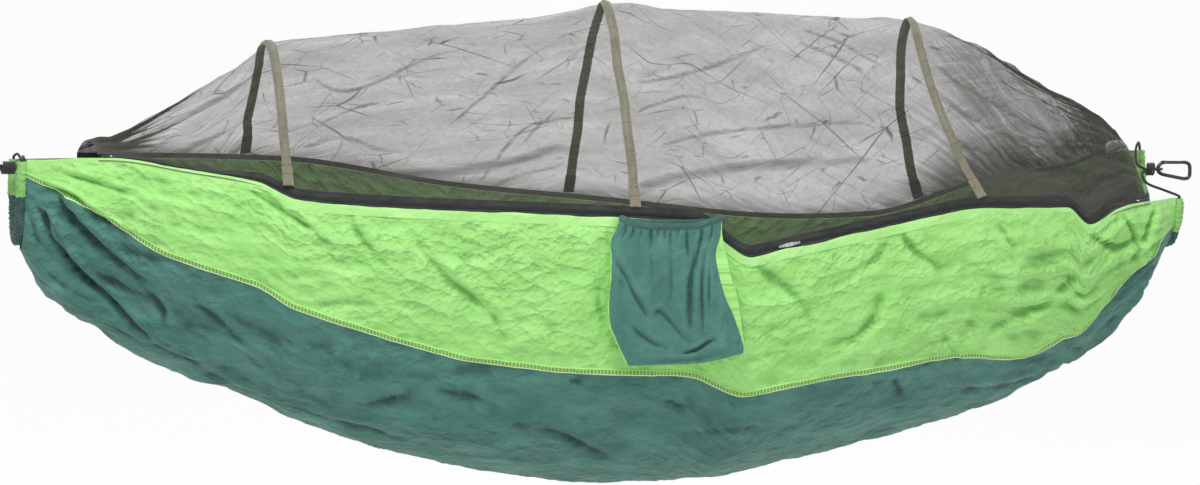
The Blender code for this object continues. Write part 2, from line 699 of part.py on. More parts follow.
def build_arch(name, x, looks, root):
    """One arch: the webbing tunnel sewn over the net, the bent rod in it and a pocket for each rod end."""
    frames = arch_path(x)
    lift = NET_THICKNESS / 2 + SEAT_GAP
    outer, _, middle = tunnel_outlines(TAPE_WIDTH)
    bore = bore_outline(middle)
    tape_frames = [shift_frame(frames[1], frames[2], GAP), *frames[2:-2], shift_frame(frames[-2], frames[-3], GAP)]
    add_sleeve(f"arch_tape_{name}", [ring_on(f, outer, lift) for f in tape_frames],
               [ring_on(f, bore, lift) for f in tape_frames], looks["webbing"], root)
    pocket_outer = tunnel_outlines(POCKET_WIDTH)[0]
    for side, foot, top in (("front", frames[0], frames[1]), ("rear", frames[-1], frames[-2])):
        low = shift_frame(foot, top, GAP)
        floor = shift_frame(foot, top, POCKET_FLOOR)
        add_sleeve(f"rod_pocket_{name}_{side}", [ring_on(low, pocket_outer, lift), ring_on(top, pocket_outer, lift)],
                   [ring_on(floor, bore, lift), ring_on(top, bore, lift)], looks["webbing"], root, blind_start=True)
    rod_frames = [shift_frame(frames[0], frames[1], POCKET_FLOOR + GAP), *frames[1:-1],
                  shift_frame(frames[-1], frames[-2], POCKET_FLOOR + GAP)]
    route = [place + outwards * (lift + middle) for place, _, outwards in rod_frames]
    add_tube(f"arch_rod_{name}", route, ROD_RADIUS, looks["rod"], root)


def shift_frame(frame, towards, distance):
    """The same frame moved along a straight stretch towards another."""
    step = (towards[0] - frame[0]).normalized() * distance
    return frame[0] + step, frame[1], frame[2]


def channel_route(outward):
    """The middle line of an end channel: the hull's cross-section at the very end."""
    x = outward * (HALF_LENGTH - CHANNEL_RADIUS - CHANNEL_RUCHE)
    last = CHANNEL_POINTS - 1
    route = []
    for k in range(CHANNEL_POINTS):
        angle = math.pi * k / last
        front = front_edge(x)
        mix = (1 - math.cos(angle)) / 2
        sag = (front.z + rear_rim(x)) / 2 - keel(x)
        z = front.z + (rear_rim(x) - front.z) * mix - sag * math.sin(angle)
        route.append(Vector((x - end_skew(HALF_LENGTH) * mix * (outward > 0), -half_width(x) * math.cos(angle), z)))
    return route


def round_rings(route, radii, sides):
    """Round rings along a route, each square to the route there."""
    rings = []
    for i, (place, radius) in enumerate(zip(route, radii)):
        tangent = (route[min(i + 1, len(route) - 1)] - route[max(i - 1, 0)]).normalized()
        side = Vector((1, 0, 0))
        side = (side - tangent * side.dot(tangent)).normalized()
        over = tangent.cross(side)
        turns = [2 * math.pi * (k + 0.5) / sides for k in range(sides)]
        rings.append([place + (side * math.cos(a) + over * math.sin(a)) * radius for a in turns])
    return rings


def smooth_route(points, steps):
    """A smooth curve through hand-placed points."""
    route = []
    for i in range(len(points) - 1):
        p1, p2 = Vector(points[i]), Vector(points[i + 1])
        p0 = Vector(points[i - 1]) if i > 0 else p1 * 2 - p2
        p3 = Vector(points[i + 2]) if i + 2 < len(points) else p2 * 2 - p1
        for k in range(steps):
            t = k / steps
            route.append(((p1 * 2) + (p2 - p0) * t + (p0 * 2 - p1 * 5 + p2 * 4 - p3) * t * t
                          + (p1 * 3 - p0 - p2 * 3 + p3) * t * t * t) / 2)
    route.append(Vector(points[-1]))
    return route


def strand_offset():
    return CORD_RADIUS + STRAND_GAP / 2


def bight_radius():
    """From the carabiner's inner bar to the middle of the cord that goes round it."""
    return CARABINER_BAR_RADIUS + CORD_RADIUS + CORD_BORE_SLACK


def lashing_start():
    """Where the lashing begins, measured from the carabiner's inner bar back along the strands."""
    return CARABINER_BAR_RADIUS + LASHING_CORD_RADIUS


def lashing_pitch():
    return 2 * LASHING_CORD_RADIUS + LASHING_PITCH_GAP


def build_gathered_end(side, bar, turns, pull, routes, looks, root):
    """One gathered end: the ruched channel, the cord through it and the lashing behind the carabiner.

    bar is the carabiner's inner bar, pull the direction in which the strands pull, and routes hold the cord's
    free stretches to the channel's front and rear ends. pull is an in-plane pair of unit vectors: along and across.
    """
    outward = -1 if side == "left" else 1
    along, across = pull
    end = Vector((outward * HALF_LENGTH, 0, 0))
    centre = bar
    channel = channel_route(outward)
    ruche = [CHANNEL_RADIUS + (CHANNEL_RUCHE if k % 2 else -CHANNEL_RUCHE) for k in range(CHANNEL_POINTS)]
    bore = [CORD_RADIUS + CORD_BORE_SLACK] * CHANNEL_POINTS
    add_sleeve(f"end_channel_{side}", round_rings(channel, ruche, TUBE_SIDES),
               round_rings(channel, bore, TUBE_SIDES), looks["lime"], root)

    wide, near = bight_radius(), strand_offset()
    back = lashing_start()
    length = turns * lashing_pitch()
    free = back + length + 2 * LASHING_CORD_RADIUS + GAP
    bight = [centre + along * wide * math.cos(a) + across * wide * math.sin(a)
             for a in [math.pi / 2 - math.pi * k / 6 for k in range(7)]]
    rear_side = [centre - along * free + across * near, centre - along * back + across * near]
    front_side = [centre - along * back - across * near, centre - along * free - across * near]
    front_free, rear_free = [[end + Vector(place) for place in route] for route in routes]
    head = smooth_route([*rear_side, *bight, *front_side], 2)
    above_front = channel[0] + Vector((0, 0, 2 * CORD_RADIUS))
    above_rear = channel[-1] + Vector((0, 0, 2 * CORD_RADIUS))
    down = smooth_route([front_side[1], *front_free, above_front, channel[0]], 3)[1:-1]
    up = smooth_route([channel[-1], above_rear, *reversed(rear_free), rear_side[0]], 3)[1:-1]
    loop = head + down + channel + up
    add_tube(f"gather_cord_{side}", loop, CORD_RADIUS, looks["cord"], root, cyclic=True)

    coil_radius = near + CORD_RADIUS + LASHING_SLACK + LASHING_CORD_RADIUS
    coil_radius /= math.cos(math.pi / LASHING_POINTS)
    over = along.cross(across)
    helix = []
    for k in range(turns * LASHING_POINTS + 1):
        turn = 2 * math.pi * k / LASHING_POINTS
        here = centre - along * (back + LASHING_CORD_RADIUS + length * k / (turns * LASHING_POINTS))
        helix.append(here + (across * math.cos(turn) + over * math.sin(turn)) * coil_radius)
    clear = least_gap(helix, LASHING_CORD_RADIUS, LASHING_POINTS // 2)
    print(f"least gap of lashing_{side} to itself: {clear * MILLIMETRES:.2f} mm")
    add_tube(f"lashing_{side}", helix, LASHING_CORD_RADIUS, looks["cord"], root, resolution=1)


def least_gap(points, radius, apart):
    """The least gap of a wound tube to itself, between points that lie at least so many apart."""
    pairs = [(a - b).length for i, a in enumerate(points) for b in points[i + apart:]]
    return min(pairs) - 2 * radius


def carabiner_point(shares):
    """A point of the carabiner's centreline, in its own frame with the inner bar's middle at the origin."""
    long = CARABINER_LENGTH - 2 * CARABINER_BAR_RADIUS
    wide = CARABINER_WIDTH - 2 * CARABINER_BAR_RADIUS
    return Vector((shares[0] * long, 0, shares[1] * wide))


def bearing_face():
    """The middle of the flat on the inside of the carabiner's outer bar, where a strap bears."""
    rise = [row for row in CARABINER_SHARES if row[0] == 1.0]
    middle = (carabiner_point(rise[0]) + carabiner_point(rise[1])) / 2
    return middle - Vector((CARABINER_BAR_RADIUS * math.cos(math.pi / TUBE_SIDES), 0, 0))


def build_carabiner(side, matrix, looks, root):
    """A carabiner on its swing axis: frame, gate on its rivet, and the spring in the gate's bore."""
    swing = add_empty(f"carabiner_{side}_swing", matrix, root)
    route = [carabiner_point(row) for row in CARABINER_SHARES]
    rings = []
    for i, place in enumerate(route):
        tangent = (route[min(i + 1, len(route) - 1)] - route[max(i - 1, 0)]).normalized()
        if i == 1:
            tangent = Vector((1, 0, 0))
        side_way = Vector((0, 1, 0)).cross(tangent)
        flat = TANG_THICKNESS / 2 / CARABINER_BAR_RADIUS if i >= len(route) - TANG_POINTS else 1.0
        turns = [2 * math.pi * (k + 0.5) / TUBE_SIDES for k in range(TUBE_SIDES)]
        rings.append([place + side_way * math.cos(a) * CARABINER_BAR_RADIUS
                      + Vector((0, math.sin(a) * flat * CARABINER_BAR_RADIUS, 0)) for a in turns])
    frame = add_loft(f"carabiner_frame_{side}", rings, looks["black_metal"], swing)

    hinge_place = carabiner_point(HINGE_SHARES)
    hinge = add_empty(f"carabiner_gate_{side}_axis", Matrix.Translation(hinge_place), swing)
    reach = carabiner_point(CARABINER_SHARES[0]).x - hinge_place.x - GATE_NOSE_GAP
    turns = [2 * math.pi * (k + 0.5) / TUBE_SIDES for k in range(TUBE_SIDES)]
    ends = [[Vector((x, math.cos(a) * GATE_RADIUS, math.sin(a) * GATE_RADIUS)) for a in turns]
            for x in (-GATE_HEEL, reach)]
    gate = add_loft(f"carabiner_gate_{side}", ends, looks["black_metal"], hinge)
    tang_gap = TANG_THICKNESS / 2 + GAP
    heel = CARABINER_BAR_RADIUS + 2 * GAP
    slot = add_box(f"gate_slot_{side}", -GATE_HEEL - CUT_OVERRUN, heel, -tang_gap, tang_gap,
                   -GATE_RADIUS - CUT_OVERRUN, GATE_RADIUS + CUT_OVERRUN, looks["black_metal"], hinge)
    cut(gate, slot)
    spring_long = SPRING_TURNS * SPRING_PITCH
    spring_start = heel + SPRING_WIRE_RADIUS + GAP
    bore_radius = (SPRING_RADIUS + SPRING_WIRE_RADIUS + GAP) / math.cos(math.pi / TUBE_SIDES)
    bore = add_rod(f"gate_bore_{side}", Vector((heel - GATE_RADIUS / 2, 0, 0)),
                   Vector((spring_start + spring_long + SPRING_WIRE_RADIUS + GAP, 0, 0)), bore_radius, looks, hinge)
    cut(gate, bore)
    hole_radius = (HINGE_PIN_RADIUS + GAP) / math.cos(math.pi / TUBE_SIDES)
    through = Vector((0, GATE_RADIUS + CUT_OVERRUN, 0))
    pin_hole = add_rod(f"pin_hole_{side}", -through, through, hole_radius, looks, hinge)
    cut(gate, pin_hole)
    cut(frame, pin_hole)
    pin_half = Vector((0, GATE_RADIUS * math.cos(math.pi / TUBE_SIDES), 0))
    pin = add_rod(f"carabiner_gate_pin_{side}", hinge_place - pin_half, hinge_place + pin_half,
                  HINGE_PIN_RADIUS, looks, swing)
    pin.hide_render = False
    pin.display_type = "TEXTURED"
    helix = []
    for k in range(SPRING_TURNS * SPRING_POINTS + 1):
        turn = 2 * math.pi * k / SPRING_POINTS
        x = spring_start + SPRING_PITCH * k / SPRING_POINTS
        helix.append(Vector((x, SPRING_RADIUS * math.cos(turn), SPRING_RADIUS * math.sin(turn))))
    add_tube(f"carabiner_gate_spring_{side}", helix, SPRING_WIRE_RADIUS, looks["spring"], hinge, resolution=0)


def add_rod(name, start, end, radius, looks, parent):
    """A straight round bar, hidden until it is shown, so that it can serve as a cutter too."""
    tangent = (end - start).normalized()
    side = Vector((0, 0, 1)) if abs(tangent.z) < 0.5 else Vector((1, 0, 0))
    over = tangent.cross(side)
    turns = [2 * math.pi * (k + 0.5) / TUBE_SIDES for k in range(TUBE_SIDES)]
    rings = [[place + (side * math.cos(a) + over * math.sin(a)) * radius for a in turns] for place in (start, end)]
    bar = add_loft(name, rings, looks["pin"], parent)
    bar.hide_render = True
    bar.display_type = "WIRE"
    return bar


def sack_ring(row, swell, drop):
    """A flattened ring round the sack at a table row, swollen by a wall offset, drop below the hinge."""
    _, shift, wide, puff = row
    half, deep = SACK_HALF_WIDTH * wide, SACK_PUFF * puff
    back = deep + SACK_WALL / 2 + GAP + SACK_HEM_WALL
    ring = []
    for k in range(SACK_SIDES):
        a = 2 * math.pi * k / SACK_SIDES
        rise = SACK_TILT * (1 + math.cos(a)) * max(0.0, drop - SACK_HEM_HEIGHT - GAP)
        ring.append(Vector((SACK_LEAN * shift + (half + swell) * math.cos(a),
                            -back + (deep + swell) * math.sin(a), rise - drop)))
    return ring


def build_sack(looks, root):
    """The storage sack on the seam at the front rim: pouch, folded hem and the elastic inside the hem."""
    wall = SACK_WALL / 2
    top = SACK_SHARES[0]
    back = sack_ring(top, wall + GAP + SACK_HEM_WALL, 0.0)
    against = min(front_edge(SACK_CENTRE + p.x).y - p.y for p in back)
    place = Vector((SACK_CENTRE, against - CLOTH_THICKNESS / 2 - GAP, front_edge(0.0).z))
    hinge = add_empty("storage_sack_axis", Matrix.Translation(place), root)
    body_top = SACK_HEM_WALL + 2 * GAP + ELASTIC_HEIGHT
    outer = [sack_ring(top, wall, body_top), sack_ring(top, wall, SACK_HEM_HEIGHT + GAP)]
    inner = [sack_ring(top, -wall, body_top), sack_ring(top, -wall, SACK_HEM_HEIGHT + GAP)]
    for row in SACK_SHARES[1:]:
        outer.append(sack_ring(row, wall, SACK_HEIGHT * row[0] + GAP))
        inner.append(sack_ring(row, -wall, SACK_HEIGHT * row[0] + GAP))
    inner[-1] = sack_ring(SACK_SHARES[-1], -wall, SACK_HEIGHT - SACK_WALL)
    add_sleeve("storage_sack", outer, inner, looks["teal"], hinge, blind_end=True)
    leg = wall + GAP
    fold = leg + SACK_HEM_WALL
    hem = [(fold, 0), (fold, SACK_HEM_HEIGHT), (leg, SACK_HEM_HEIGHT), (leg, SACK_HEM_WALL),
           (-leg, SACK_HEM_WALL), (-leg, SACK_HEM_HEIGHT), (-fold, SACK_HEM_HEIGHT), (-fold, 0)]
    add_loop("storage_sack_hem", hem, top, looks["teal"], hinge)
    low = SACK_HEM_WALL + GAP
    elastic = [(wall, low), (wall, low + ELASTIC_HEIGHT), (-wall, low + ELASTIC_HEIGHT), (-wall, low)]
    add_loop("storage_sack_elastic", elastic, top, looks["elastic"], hinge)


def add_loop(name, section, row, look, parent):
    """A band round the sack's mouth from a cross-section of (swell, drop) points."""
    columns = [sack_ring(row, swell, drop) for swell, drop in section]
    rings = [[column[k] for column in columns] for k in range(SACK_SIDES)]
    return add_loft(name, rings, look, parent, wrap=True)


def make_looks():
    return {
        "lime": material("lime_nylon", (0.30, 0.80, 0.22), 0.55),
        "teal": material("teal_nylon", (0.07, 0.23, 0.18), 0.55),
        "net": material("net_mesh", (0.22, 0.22, 0.19), 0.8),
        "webbing": material("khaki_webbing", (0.30, 0.26, 0.15), 0.85),
        "rod": material("glass_fibre", (0.55, 0.55, 0.50), 0.4),
        "zip": material("black_tape", (0.02, 0.02, 0.025), 0.8),
        "coil": material("black_coil", (0.02, 0.02, 0.02), 0.35),
        "silver": material("nickel", (0.62, 0.62, 0.62), 0.25, 1.0),
        "cord": material("black_cord", (0.02, 0.018, 0.024), 0.7),
        "black_metal": material("black_alloy", (0.03, 0.03, 0.035), 0.3, 1.0),
        "pin": material("steel", (0.5, 0.5, 0.5), 0.3, 1.0),
        "spring": material("spring_steel", (0.45, 0.45, 0.45), 0.35, 1.0),
        "elastic": material("white_elastic", (0.8, 0.8, 0.78), 0.8),
    }


def swing_matrix(bar, along, wide):
    """A carabiner's frame: X from its inner bar to its outer end, Z across its width."""
    turned = Matrix((along, wide.cross(along), wide)).transposed()
    return Matrix.Translation(bar) @ turned.to_4x4()


def main():
    clear_scene()
    looks = make_looks()
    right_bar = Vector((HALF_LENGTH, 0, 0)) + Vector(RIGHT_BAR_OFFSET)
    left_bar = Vector((-HALF_LENGTH, 0, 0)) + Vector(LEFT_BAR_OFFSET)
    root = add_empty("hammock_tent", Matrix.Translation(-(right_bar + bearing_face())), None)
    build_hull(looks, root)
    build_net(looks, root)
    build_zip_tapes(looks, root)
    for name, x in zip(("left", "middle", "right"), arch_places()):
        build_arch(name, x, looks, root)
    for side in ("left", "right"):
        build_slider(side, looks, root)
        build_stop(side, looks, root)
    build_sack(looks, root)

    east, north, up = Vector((1, 0, 0)), Vector((0, 1, 0)), Vector((0, 0, 1))
    build_gathered_end("right", right_bar, RIGHT_TURNS, (east, north), (RIGHT_FRONT_ROUTE, RIGHT_REAR_ROUTE),
                       looks, root)
    build_carabiner("right", swing_matrix(right_bar, east, up), looks, root)
    tilt, flop = math.radians(LEFT_TILT_DEG), math.radians(LEFT_FLOP_DEG)
    lean = north * math.cos(tilt) + up * math.sin(tilt)
    wide = up * math.cos(tilt) - north * math.sin(tilt)
    along = -east * math.cos(flop) + lean * math.sin(flop)
    build_gathered_end("left", left_bar, LEFT_TURNS, (-east, lean), (LEFT_FRONT_ROUTE, LEFT_REAR_ROUTE),
                       looks, root)
    build_carabiner("left", swing_matrix(left_bar, along, wide), looks, root)


main()
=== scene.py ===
"""Looks of the hammock tent: cloth, net, tapes, zip, sack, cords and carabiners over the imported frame.

Lengths are in metres and +Z is up. +X runs along the hammock from its left end to its right end and -Y is the
front. The shape functions repeat those of the part about the middle of the rim, and ORIGIN moves them into the
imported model's frame.
"""

import json
import logging
import math
from collections.abc import Sequence
from dataclasses import dataclass
from enum import Enum

import bpy
import numpy as np
from mathutils import Matrix, Vector, noise

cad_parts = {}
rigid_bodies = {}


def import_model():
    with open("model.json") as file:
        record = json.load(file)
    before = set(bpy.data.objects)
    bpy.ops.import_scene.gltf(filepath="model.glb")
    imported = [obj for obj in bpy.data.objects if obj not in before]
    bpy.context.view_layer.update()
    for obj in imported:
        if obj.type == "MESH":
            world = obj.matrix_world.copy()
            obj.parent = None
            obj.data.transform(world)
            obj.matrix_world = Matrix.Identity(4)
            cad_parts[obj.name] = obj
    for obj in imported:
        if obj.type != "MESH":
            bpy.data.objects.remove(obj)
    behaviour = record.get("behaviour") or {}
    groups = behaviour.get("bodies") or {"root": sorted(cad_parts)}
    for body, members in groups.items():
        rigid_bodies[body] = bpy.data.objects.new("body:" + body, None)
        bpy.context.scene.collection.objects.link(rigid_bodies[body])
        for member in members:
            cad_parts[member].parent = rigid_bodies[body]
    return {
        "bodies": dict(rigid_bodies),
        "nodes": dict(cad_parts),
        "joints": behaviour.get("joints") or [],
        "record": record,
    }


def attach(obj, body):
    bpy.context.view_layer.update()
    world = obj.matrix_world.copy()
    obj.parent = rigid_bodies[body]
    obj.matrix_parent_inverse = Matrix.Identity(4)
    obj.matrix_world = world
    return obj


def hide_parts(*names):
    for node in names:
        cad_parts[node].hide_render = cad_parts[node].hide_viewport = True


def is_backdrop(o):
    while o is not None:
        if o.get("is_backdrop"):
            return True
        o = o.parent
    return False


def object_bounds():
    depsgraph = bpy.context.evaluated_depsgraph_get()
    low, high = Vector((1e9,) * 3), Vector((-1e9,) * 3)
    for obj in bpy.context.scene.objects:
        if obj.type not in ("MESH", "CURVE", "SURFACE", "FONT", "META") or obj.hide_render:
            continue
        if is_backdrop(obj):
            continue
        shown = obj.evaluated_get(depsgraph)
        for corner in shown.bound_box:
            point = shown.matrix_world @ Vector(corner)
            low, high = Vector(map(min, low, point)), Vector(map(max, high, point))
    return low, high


LOG = logging.getLogger("hammock_tent")
ORIGIN = Vector((-1.273304, 0.0, -0.06268))
NOISE_SEED = 7

Socket = bpy.types.NodeSocket
Material = bpy.types.Material
Object = bpy.types.Object
Table = tuple[tuple[float, float], ...]
Outline = list[tuple[float, float]]
Colour = tuple[float, float, float]
Route = list[Vector]
Rings = Sequence[Sequence[Vector]]

X_WAY, Y_WAY, UP = Vector((1, 0, 0)), Vector((0, 1, 0)), Vector((0, 0, 1))


class Side(Enum):
    """One of the hammock's two ends, seen from the front."""

    LEFT = "left"
    RIGHT = "right"

    @property
    def outward(self) -> int:
        """The sign of X that points out of the hammock at this end."""
        return -1 if self is Side.LEFT else 1


def linear_share(table: Table, place: float) -> float:
    """Reads a table of rising (place, value) rows on straight lines between them."""
    for (x0, v0), (x1, v1) in zip(table, table[1:]):
        if place <= x1:
            return v0 + (v1 - v0) * (place - x0) / (x1 - x0)
    return table[-1][1]


def smooth_share(table: Table, place: float) -> float:
    """Reads a table of rising (place, value) rows on a smooth curve that never overshoots them."""
    place = min(max(place, table[0][0]), table[-1][0])
    row = next(k for k in range(len(table) - 1) if place <= table[k + 1][0])
    slopes = [(b[1] - a[1]) / (b[0] - a[0]) for a, b in zip(table, table[1:])]

    def tangent(k: int) -> float:
        """The curve's slope at row k."""
        if k in (0, len(slopes)):
            return slopes[min(k, len(slopes) - 1)]
        before, after = slopes[k - 1], slopes[k]
        return 0.0 if before * after <= 0 else 2 * before * after / (before + after)

    (x0, v0), (x1, v1) = table[row], table[row + 1]
    span = x1 - x0
    t = (place - x0) / span
    rise = (t * t * (3 - 2 * t)) * (v1 - v0)
    bend = span * (t * (1 - t) ** 2 * tangent(row) - t * t * (1 - t) * tangent(row + 1))
    return v0 + rise + bend


def ease(value: float) -> float:
    """A smooth step from 0 to 1 for a value between 0 and 1, and flat outside."""
    t = min(max(value, 0.0), 1.0)
    return t * t * (3 - 2 * t)


@dataclass(frozen=True)
class HammockShape:
    """The forms of the hull and the net, repeated from the part."""

    half_length: float = 1.25
    half_width: float = 0.34
    hull_depth: float = 0.59
    rim_lift: float = 0.09
    net_height: float = 0.41
    end_skew: float = 0.055
    end_zone: float = 0.2
    end_fold_depth: float = 0.012
    fold_waves: float = 6
    fold_runout: float = 8
    net_left_margin: float = 0.16
    net_right_margin: float = 0.095
    net_end_rise: float = 0.005
    gap: float = 0.0003
    channel_radius: float = 0.0115
    channel_ruche: float = 0.0015
    zip_tape_width: float = 0.009
    coil_half_height: float = 0.0026
    coil_space: float = 0.0012
    rear_hem_height: float = 0.012
    arch_three_lean: float = 0.092
    arch_shares: tuple[float, ...] = (-0.571, 0.0, 0.603)
    zip_run_shares: tuple[float, float] = (0.20, 0.524)
    width_shares: Table = (
        (-1, 0.14), (-0.95, 0.26), (-0.88, 0.42), (-0.75, 0.61), (-0.57, 0.77), (-0.3, 0.94), (0, 1),
        (0.3, 0.95), (0.6, 0.81), (0.75, 0.67), (0.88, 0.47), (0.95, 0.3), (1, 0.14),
    )
    front_rim_shares: Table = (
        (-1, 0.9), (-0.85, 1.03), (-0.73, 0.8), (-0.62, 0.55), (-0.55, 0.13), (-0.4, 0), (-0.1, -0.15),
        (0.1, -0.3), (0.2, -1.11), (0.524, -0.17), (0.6, -0.02), (0.76, -0.04), (0.804, -0.45), (0.86, -0.1),
        (0.93, 0.05), (1, 0.1),
    )
    rear_rim_shares: Table = (
        (-1, 0.9), (-0.86, 0.85), (-0.51, 0.7), (-0.2, 0.05), (0.04, -0.27), (0.39, -0.68), (0.52, -0.6),
        (0.72, 0.29), (0.82, 0.55), (0.95, 1.09), (1, 1.17),
    )
    keel_shares: Table = (
        (-1, 0.06), (-0.988, 0.15), (-0.958, 0.26), (-0.918, 0.35), (-0.856, 0.43), (-0.77, 0.55),
        (-0.7, 0.61), (-0.616, 0.675), (-0.46, 0.82), (-0.345, 0.893), (-0.24, 0.946), (-0.1, 0.988), (0, 1),
        (0.17, 0.985), (0.34, 0.92), (0.444, 0.87), (0.56, 0.8), (0.65, 0.732), (0.72, 0.66), (0.79, 0.57),
        (0.858, 0.48), (0.918, 0.37), (0.951, 0.27), (0.973, 0.18), (1, 0.1),
    )
    seam_shares: Table = (
        (-1, 0.12), (-0.88, 0.31), (-0.78, 0.43), (-0.5, 0.48), (-0.25, 0.555), (0.1, 0.57), (0.3, 0.6),
        (0.45, 0.645), (0.6, 0.7), (0.72, 0.79), (0.8, 0.76), (0.88, 0.6), (0.96, 0.44), (1, 0.35),
    )
    rear_seam_shares: Table = (
        (-1, 0.12), (-0.88, 0.31), (-0.78, 0.43), (-0.5, 0.48), (-0.25, 0.555), (0.1, 0.57), (0.3, 0.6),
        (0.45, 0.58), (0.55, 0.47), (0.63, 0.3), (0.71, 0.17), (0.8, 0.12), (0.9, 0.14), (1, 0.3),
    )
    net_top_shares: Table = (
        (-1, 0.2), (-0.885, 0.205), (-0.774, 0.385), (-0.688, 0.537), (-0.619, 0.666), (-0.571, 0.8),
        (-0.5, 0.82), (-0.345, 0.865), (-0.122, 0.925), (-0.04, 0.975), (0, 1.01), (0.05, 1.0), (0.1, 0.97),
        (0.27, 0.955), (0.44, 0.94), (0.529, 0.93), (0.582, 0.88), (0.659, 0.778), (0.719, 0.656),
        (0.788, 0.537), (0.856, 0.434), (0.908, 0.317), (0.942, 0.24), (1, 0.23),
    )
    lean_shares: Table = ((-1, 0), (0, 0), (0.603, -1), (1, 0))
    tilt_shares: Table = ((-1, 1), (-0.68, 1), (-0.53, 0), (0.8, 0), (0.88, 1), (1, 1))
    roundness_shares: Table = (
        (-1, 4), (-0.8, 0.9), (-0.571, 0.8), (0, 0.36), (0.603, 0.36), (0.8, 0.6), (1, 4),
    )

    def share(self, x: float) -> float:
        """A place along the length as a share of half the length."""
        return x / self.half_length

    def wide(self, x: float) -> float:
        """Half the hull's width at a place."""
        return self.half_width * smooth_share(self.width_shares, self.share(x))

    def rear_rim(self, x: float) -> float:
        """The rear rim's height at a place."""
        return self.rim_lift * smooth_share(self.rear_rim_shares, self.share(x))

    def keel(self, x: float) -> float:
        """The hull's lowest height at a place."""
        return -self.hull_depth * smooth_share(self.keel_shares, self.share(x))

    def seam_angles(self, x: float) -> tuple[float, float]:
        """The angles of the front and the rear seam at a place, each from its own rim."""
        tables = (self.seam_shares, self.rear_seam_shares)
        front, rear = (math.asin(smooth_share(table, self.share(x))) for table in tables)
        return front, rear

    def rim_point(self, x: float) -> Vector:
        """The front rim's point at a place on its smooth curve."""
        return Vector((x, -self.wide(x), self.rim_lift * smooth_share(self.front_rim_shares, self.share(x))))

    def zip_run(self) -> tuple[Vector, Vector]:
        """The two ends of the stretch where the front rim runs straight."""
        start, end = (self.rim_point(share * self.half_length) for share in self.zip_run_shares)
        return start, end

    def front_edge(self, x: float) -> Vector:
        """The front rim's point at a place, on the straight zip run between its ends."""
        start, end = self.zip_run()
        if start.x < x < end.x:
            return start.lerp(end, (x - start.x) / (end.x - start.x))
        return self.rim_point(x)

    def skew(self, x: float) -> float:
        """How far the rear rim falls back behind the front rim at a place."""
        return self.end_skew * ease((x - self.half_length + self.end_zone) / self.end_zone)

    def panel_end(self) -> float:
        """Where the sewn panels end and the end channels begin."""
        return self.half_length - 2 * (self.channel_radius + self.channel_ruche) - self.gap

    def net_ends(self) -> tuple[float, float]:
        """Where the net and the zip end, left and right."""
        return self.net_left_margin - self.half_length, self.half_length - self.net_right_margin

    def arch_places(self) -> list[float]:
        """The places of the three arches along the length."""
        return [share * self.half_length for share in self.arch_shares]

    def zip_height(self) -> float:
        """From the front rim to the net's front edge."""
        return 2 * (self.zip_tape_width + self.gap + self.coil_half_height) + self.coil_space + 2 * self.gap

    def coil_bottom(self) -> float:
        """The lower coil's height over the rim."""
        return 2 * self.gap + self.zip_tape_width

    def zip_middle(self) -> float:
        """The zip's middle line over the rim."""
        return self.coil_bottom() + self.coil_half_height + self.coil_space / 2

    def zip_tilt(self, x: float) -> float:
        """How far the zip leans in behind the rim at a place, in radians: near both ends it lies almost flat."""
        return linear_share(self.tilt_shares, self.share(x)) * math.radians(68)

    def net_point(self, x: float, across: float) -> Vector:
        """The net's point at a place: across is -1 at the zip, 0 at the ridge and 1 at the rear hem."""
        lean = self.arch_three_lean * linear_share(self.lean_shares, self.share(x))
        ridge = self.net_height * linear_share(self.net_top_shares, self.share(x + lean))
        front = self.front_edge(x)
        front_z, rear_z = front.z + self.zip_height(), self.rear_rim(x) + self.rear_hem_height + self.gap
        side_y, side_z = (-front.y, front_z) if across < 0 else (self.wide(x), rear_z)
        ridge = max(ridge, front_z + self.net_end_rise, rear_z + self.net_end_rise)
        top = linear_share(self.roundness_shares, self.share(x))
        fall = (math.hypot(across, top) - top) / (math.hypot(1, top) - top)
        return Vector((
            x + lean * (1 - fall * fall) - self.skew(x) * (1 + across) / 2, side_y * across,
            ridge - (ridge - side_z) * fall,
        ))


@dataclass(frozen=True)
class Section:
    """The hull's cross-section at one place along its length."""

    shape: HammockShape
    x: float
    front: Vector
    wide: float
    rear: float
    keel: float
    skew: float
    seams: tuple[float, float]
    fold: float

    @classmethod
    def at(cls, shape: HammockShape, x: float) -> "Section":
        """Works out the cross-section at a place along the length."""
        half, end = shape.half_length / 2, shape.panel_end()
        fade = max(0.0, (abs(x) - half) / (end - half))
        fade *= min(1.0, (1 - fade) * shape.fold_runout)
        return cls(shape, x, shape.front_edge(x), shape.wide(x), shape.rear_rim(x), shape.keel(x), shape.skew(x),
                   shape.seam_angles(x), shape.end_fold_depth * fade)

    def point(self, angle: float) -> Vector:
        """The hull's point at an angle: 0 is the front rim, 90 degrees the keel and 180 the rear rim."""
        across, down = math.cos(angle), math.sin(angle)
        y = self.front.y * across if across > 0 else -self.wide * across
        mix = (1 - across) / 2
        sag = (self.front.z + self.rear) / 2 - self.keel
        fold = self.fold * math.sin(self.shape.fold_waves * angle)
        z = self.front.z + (self.rear - self.front.z) * mix - sag * down
        return Vector((self.x - self.skew * mix, y - fold * across, z - fold * down))


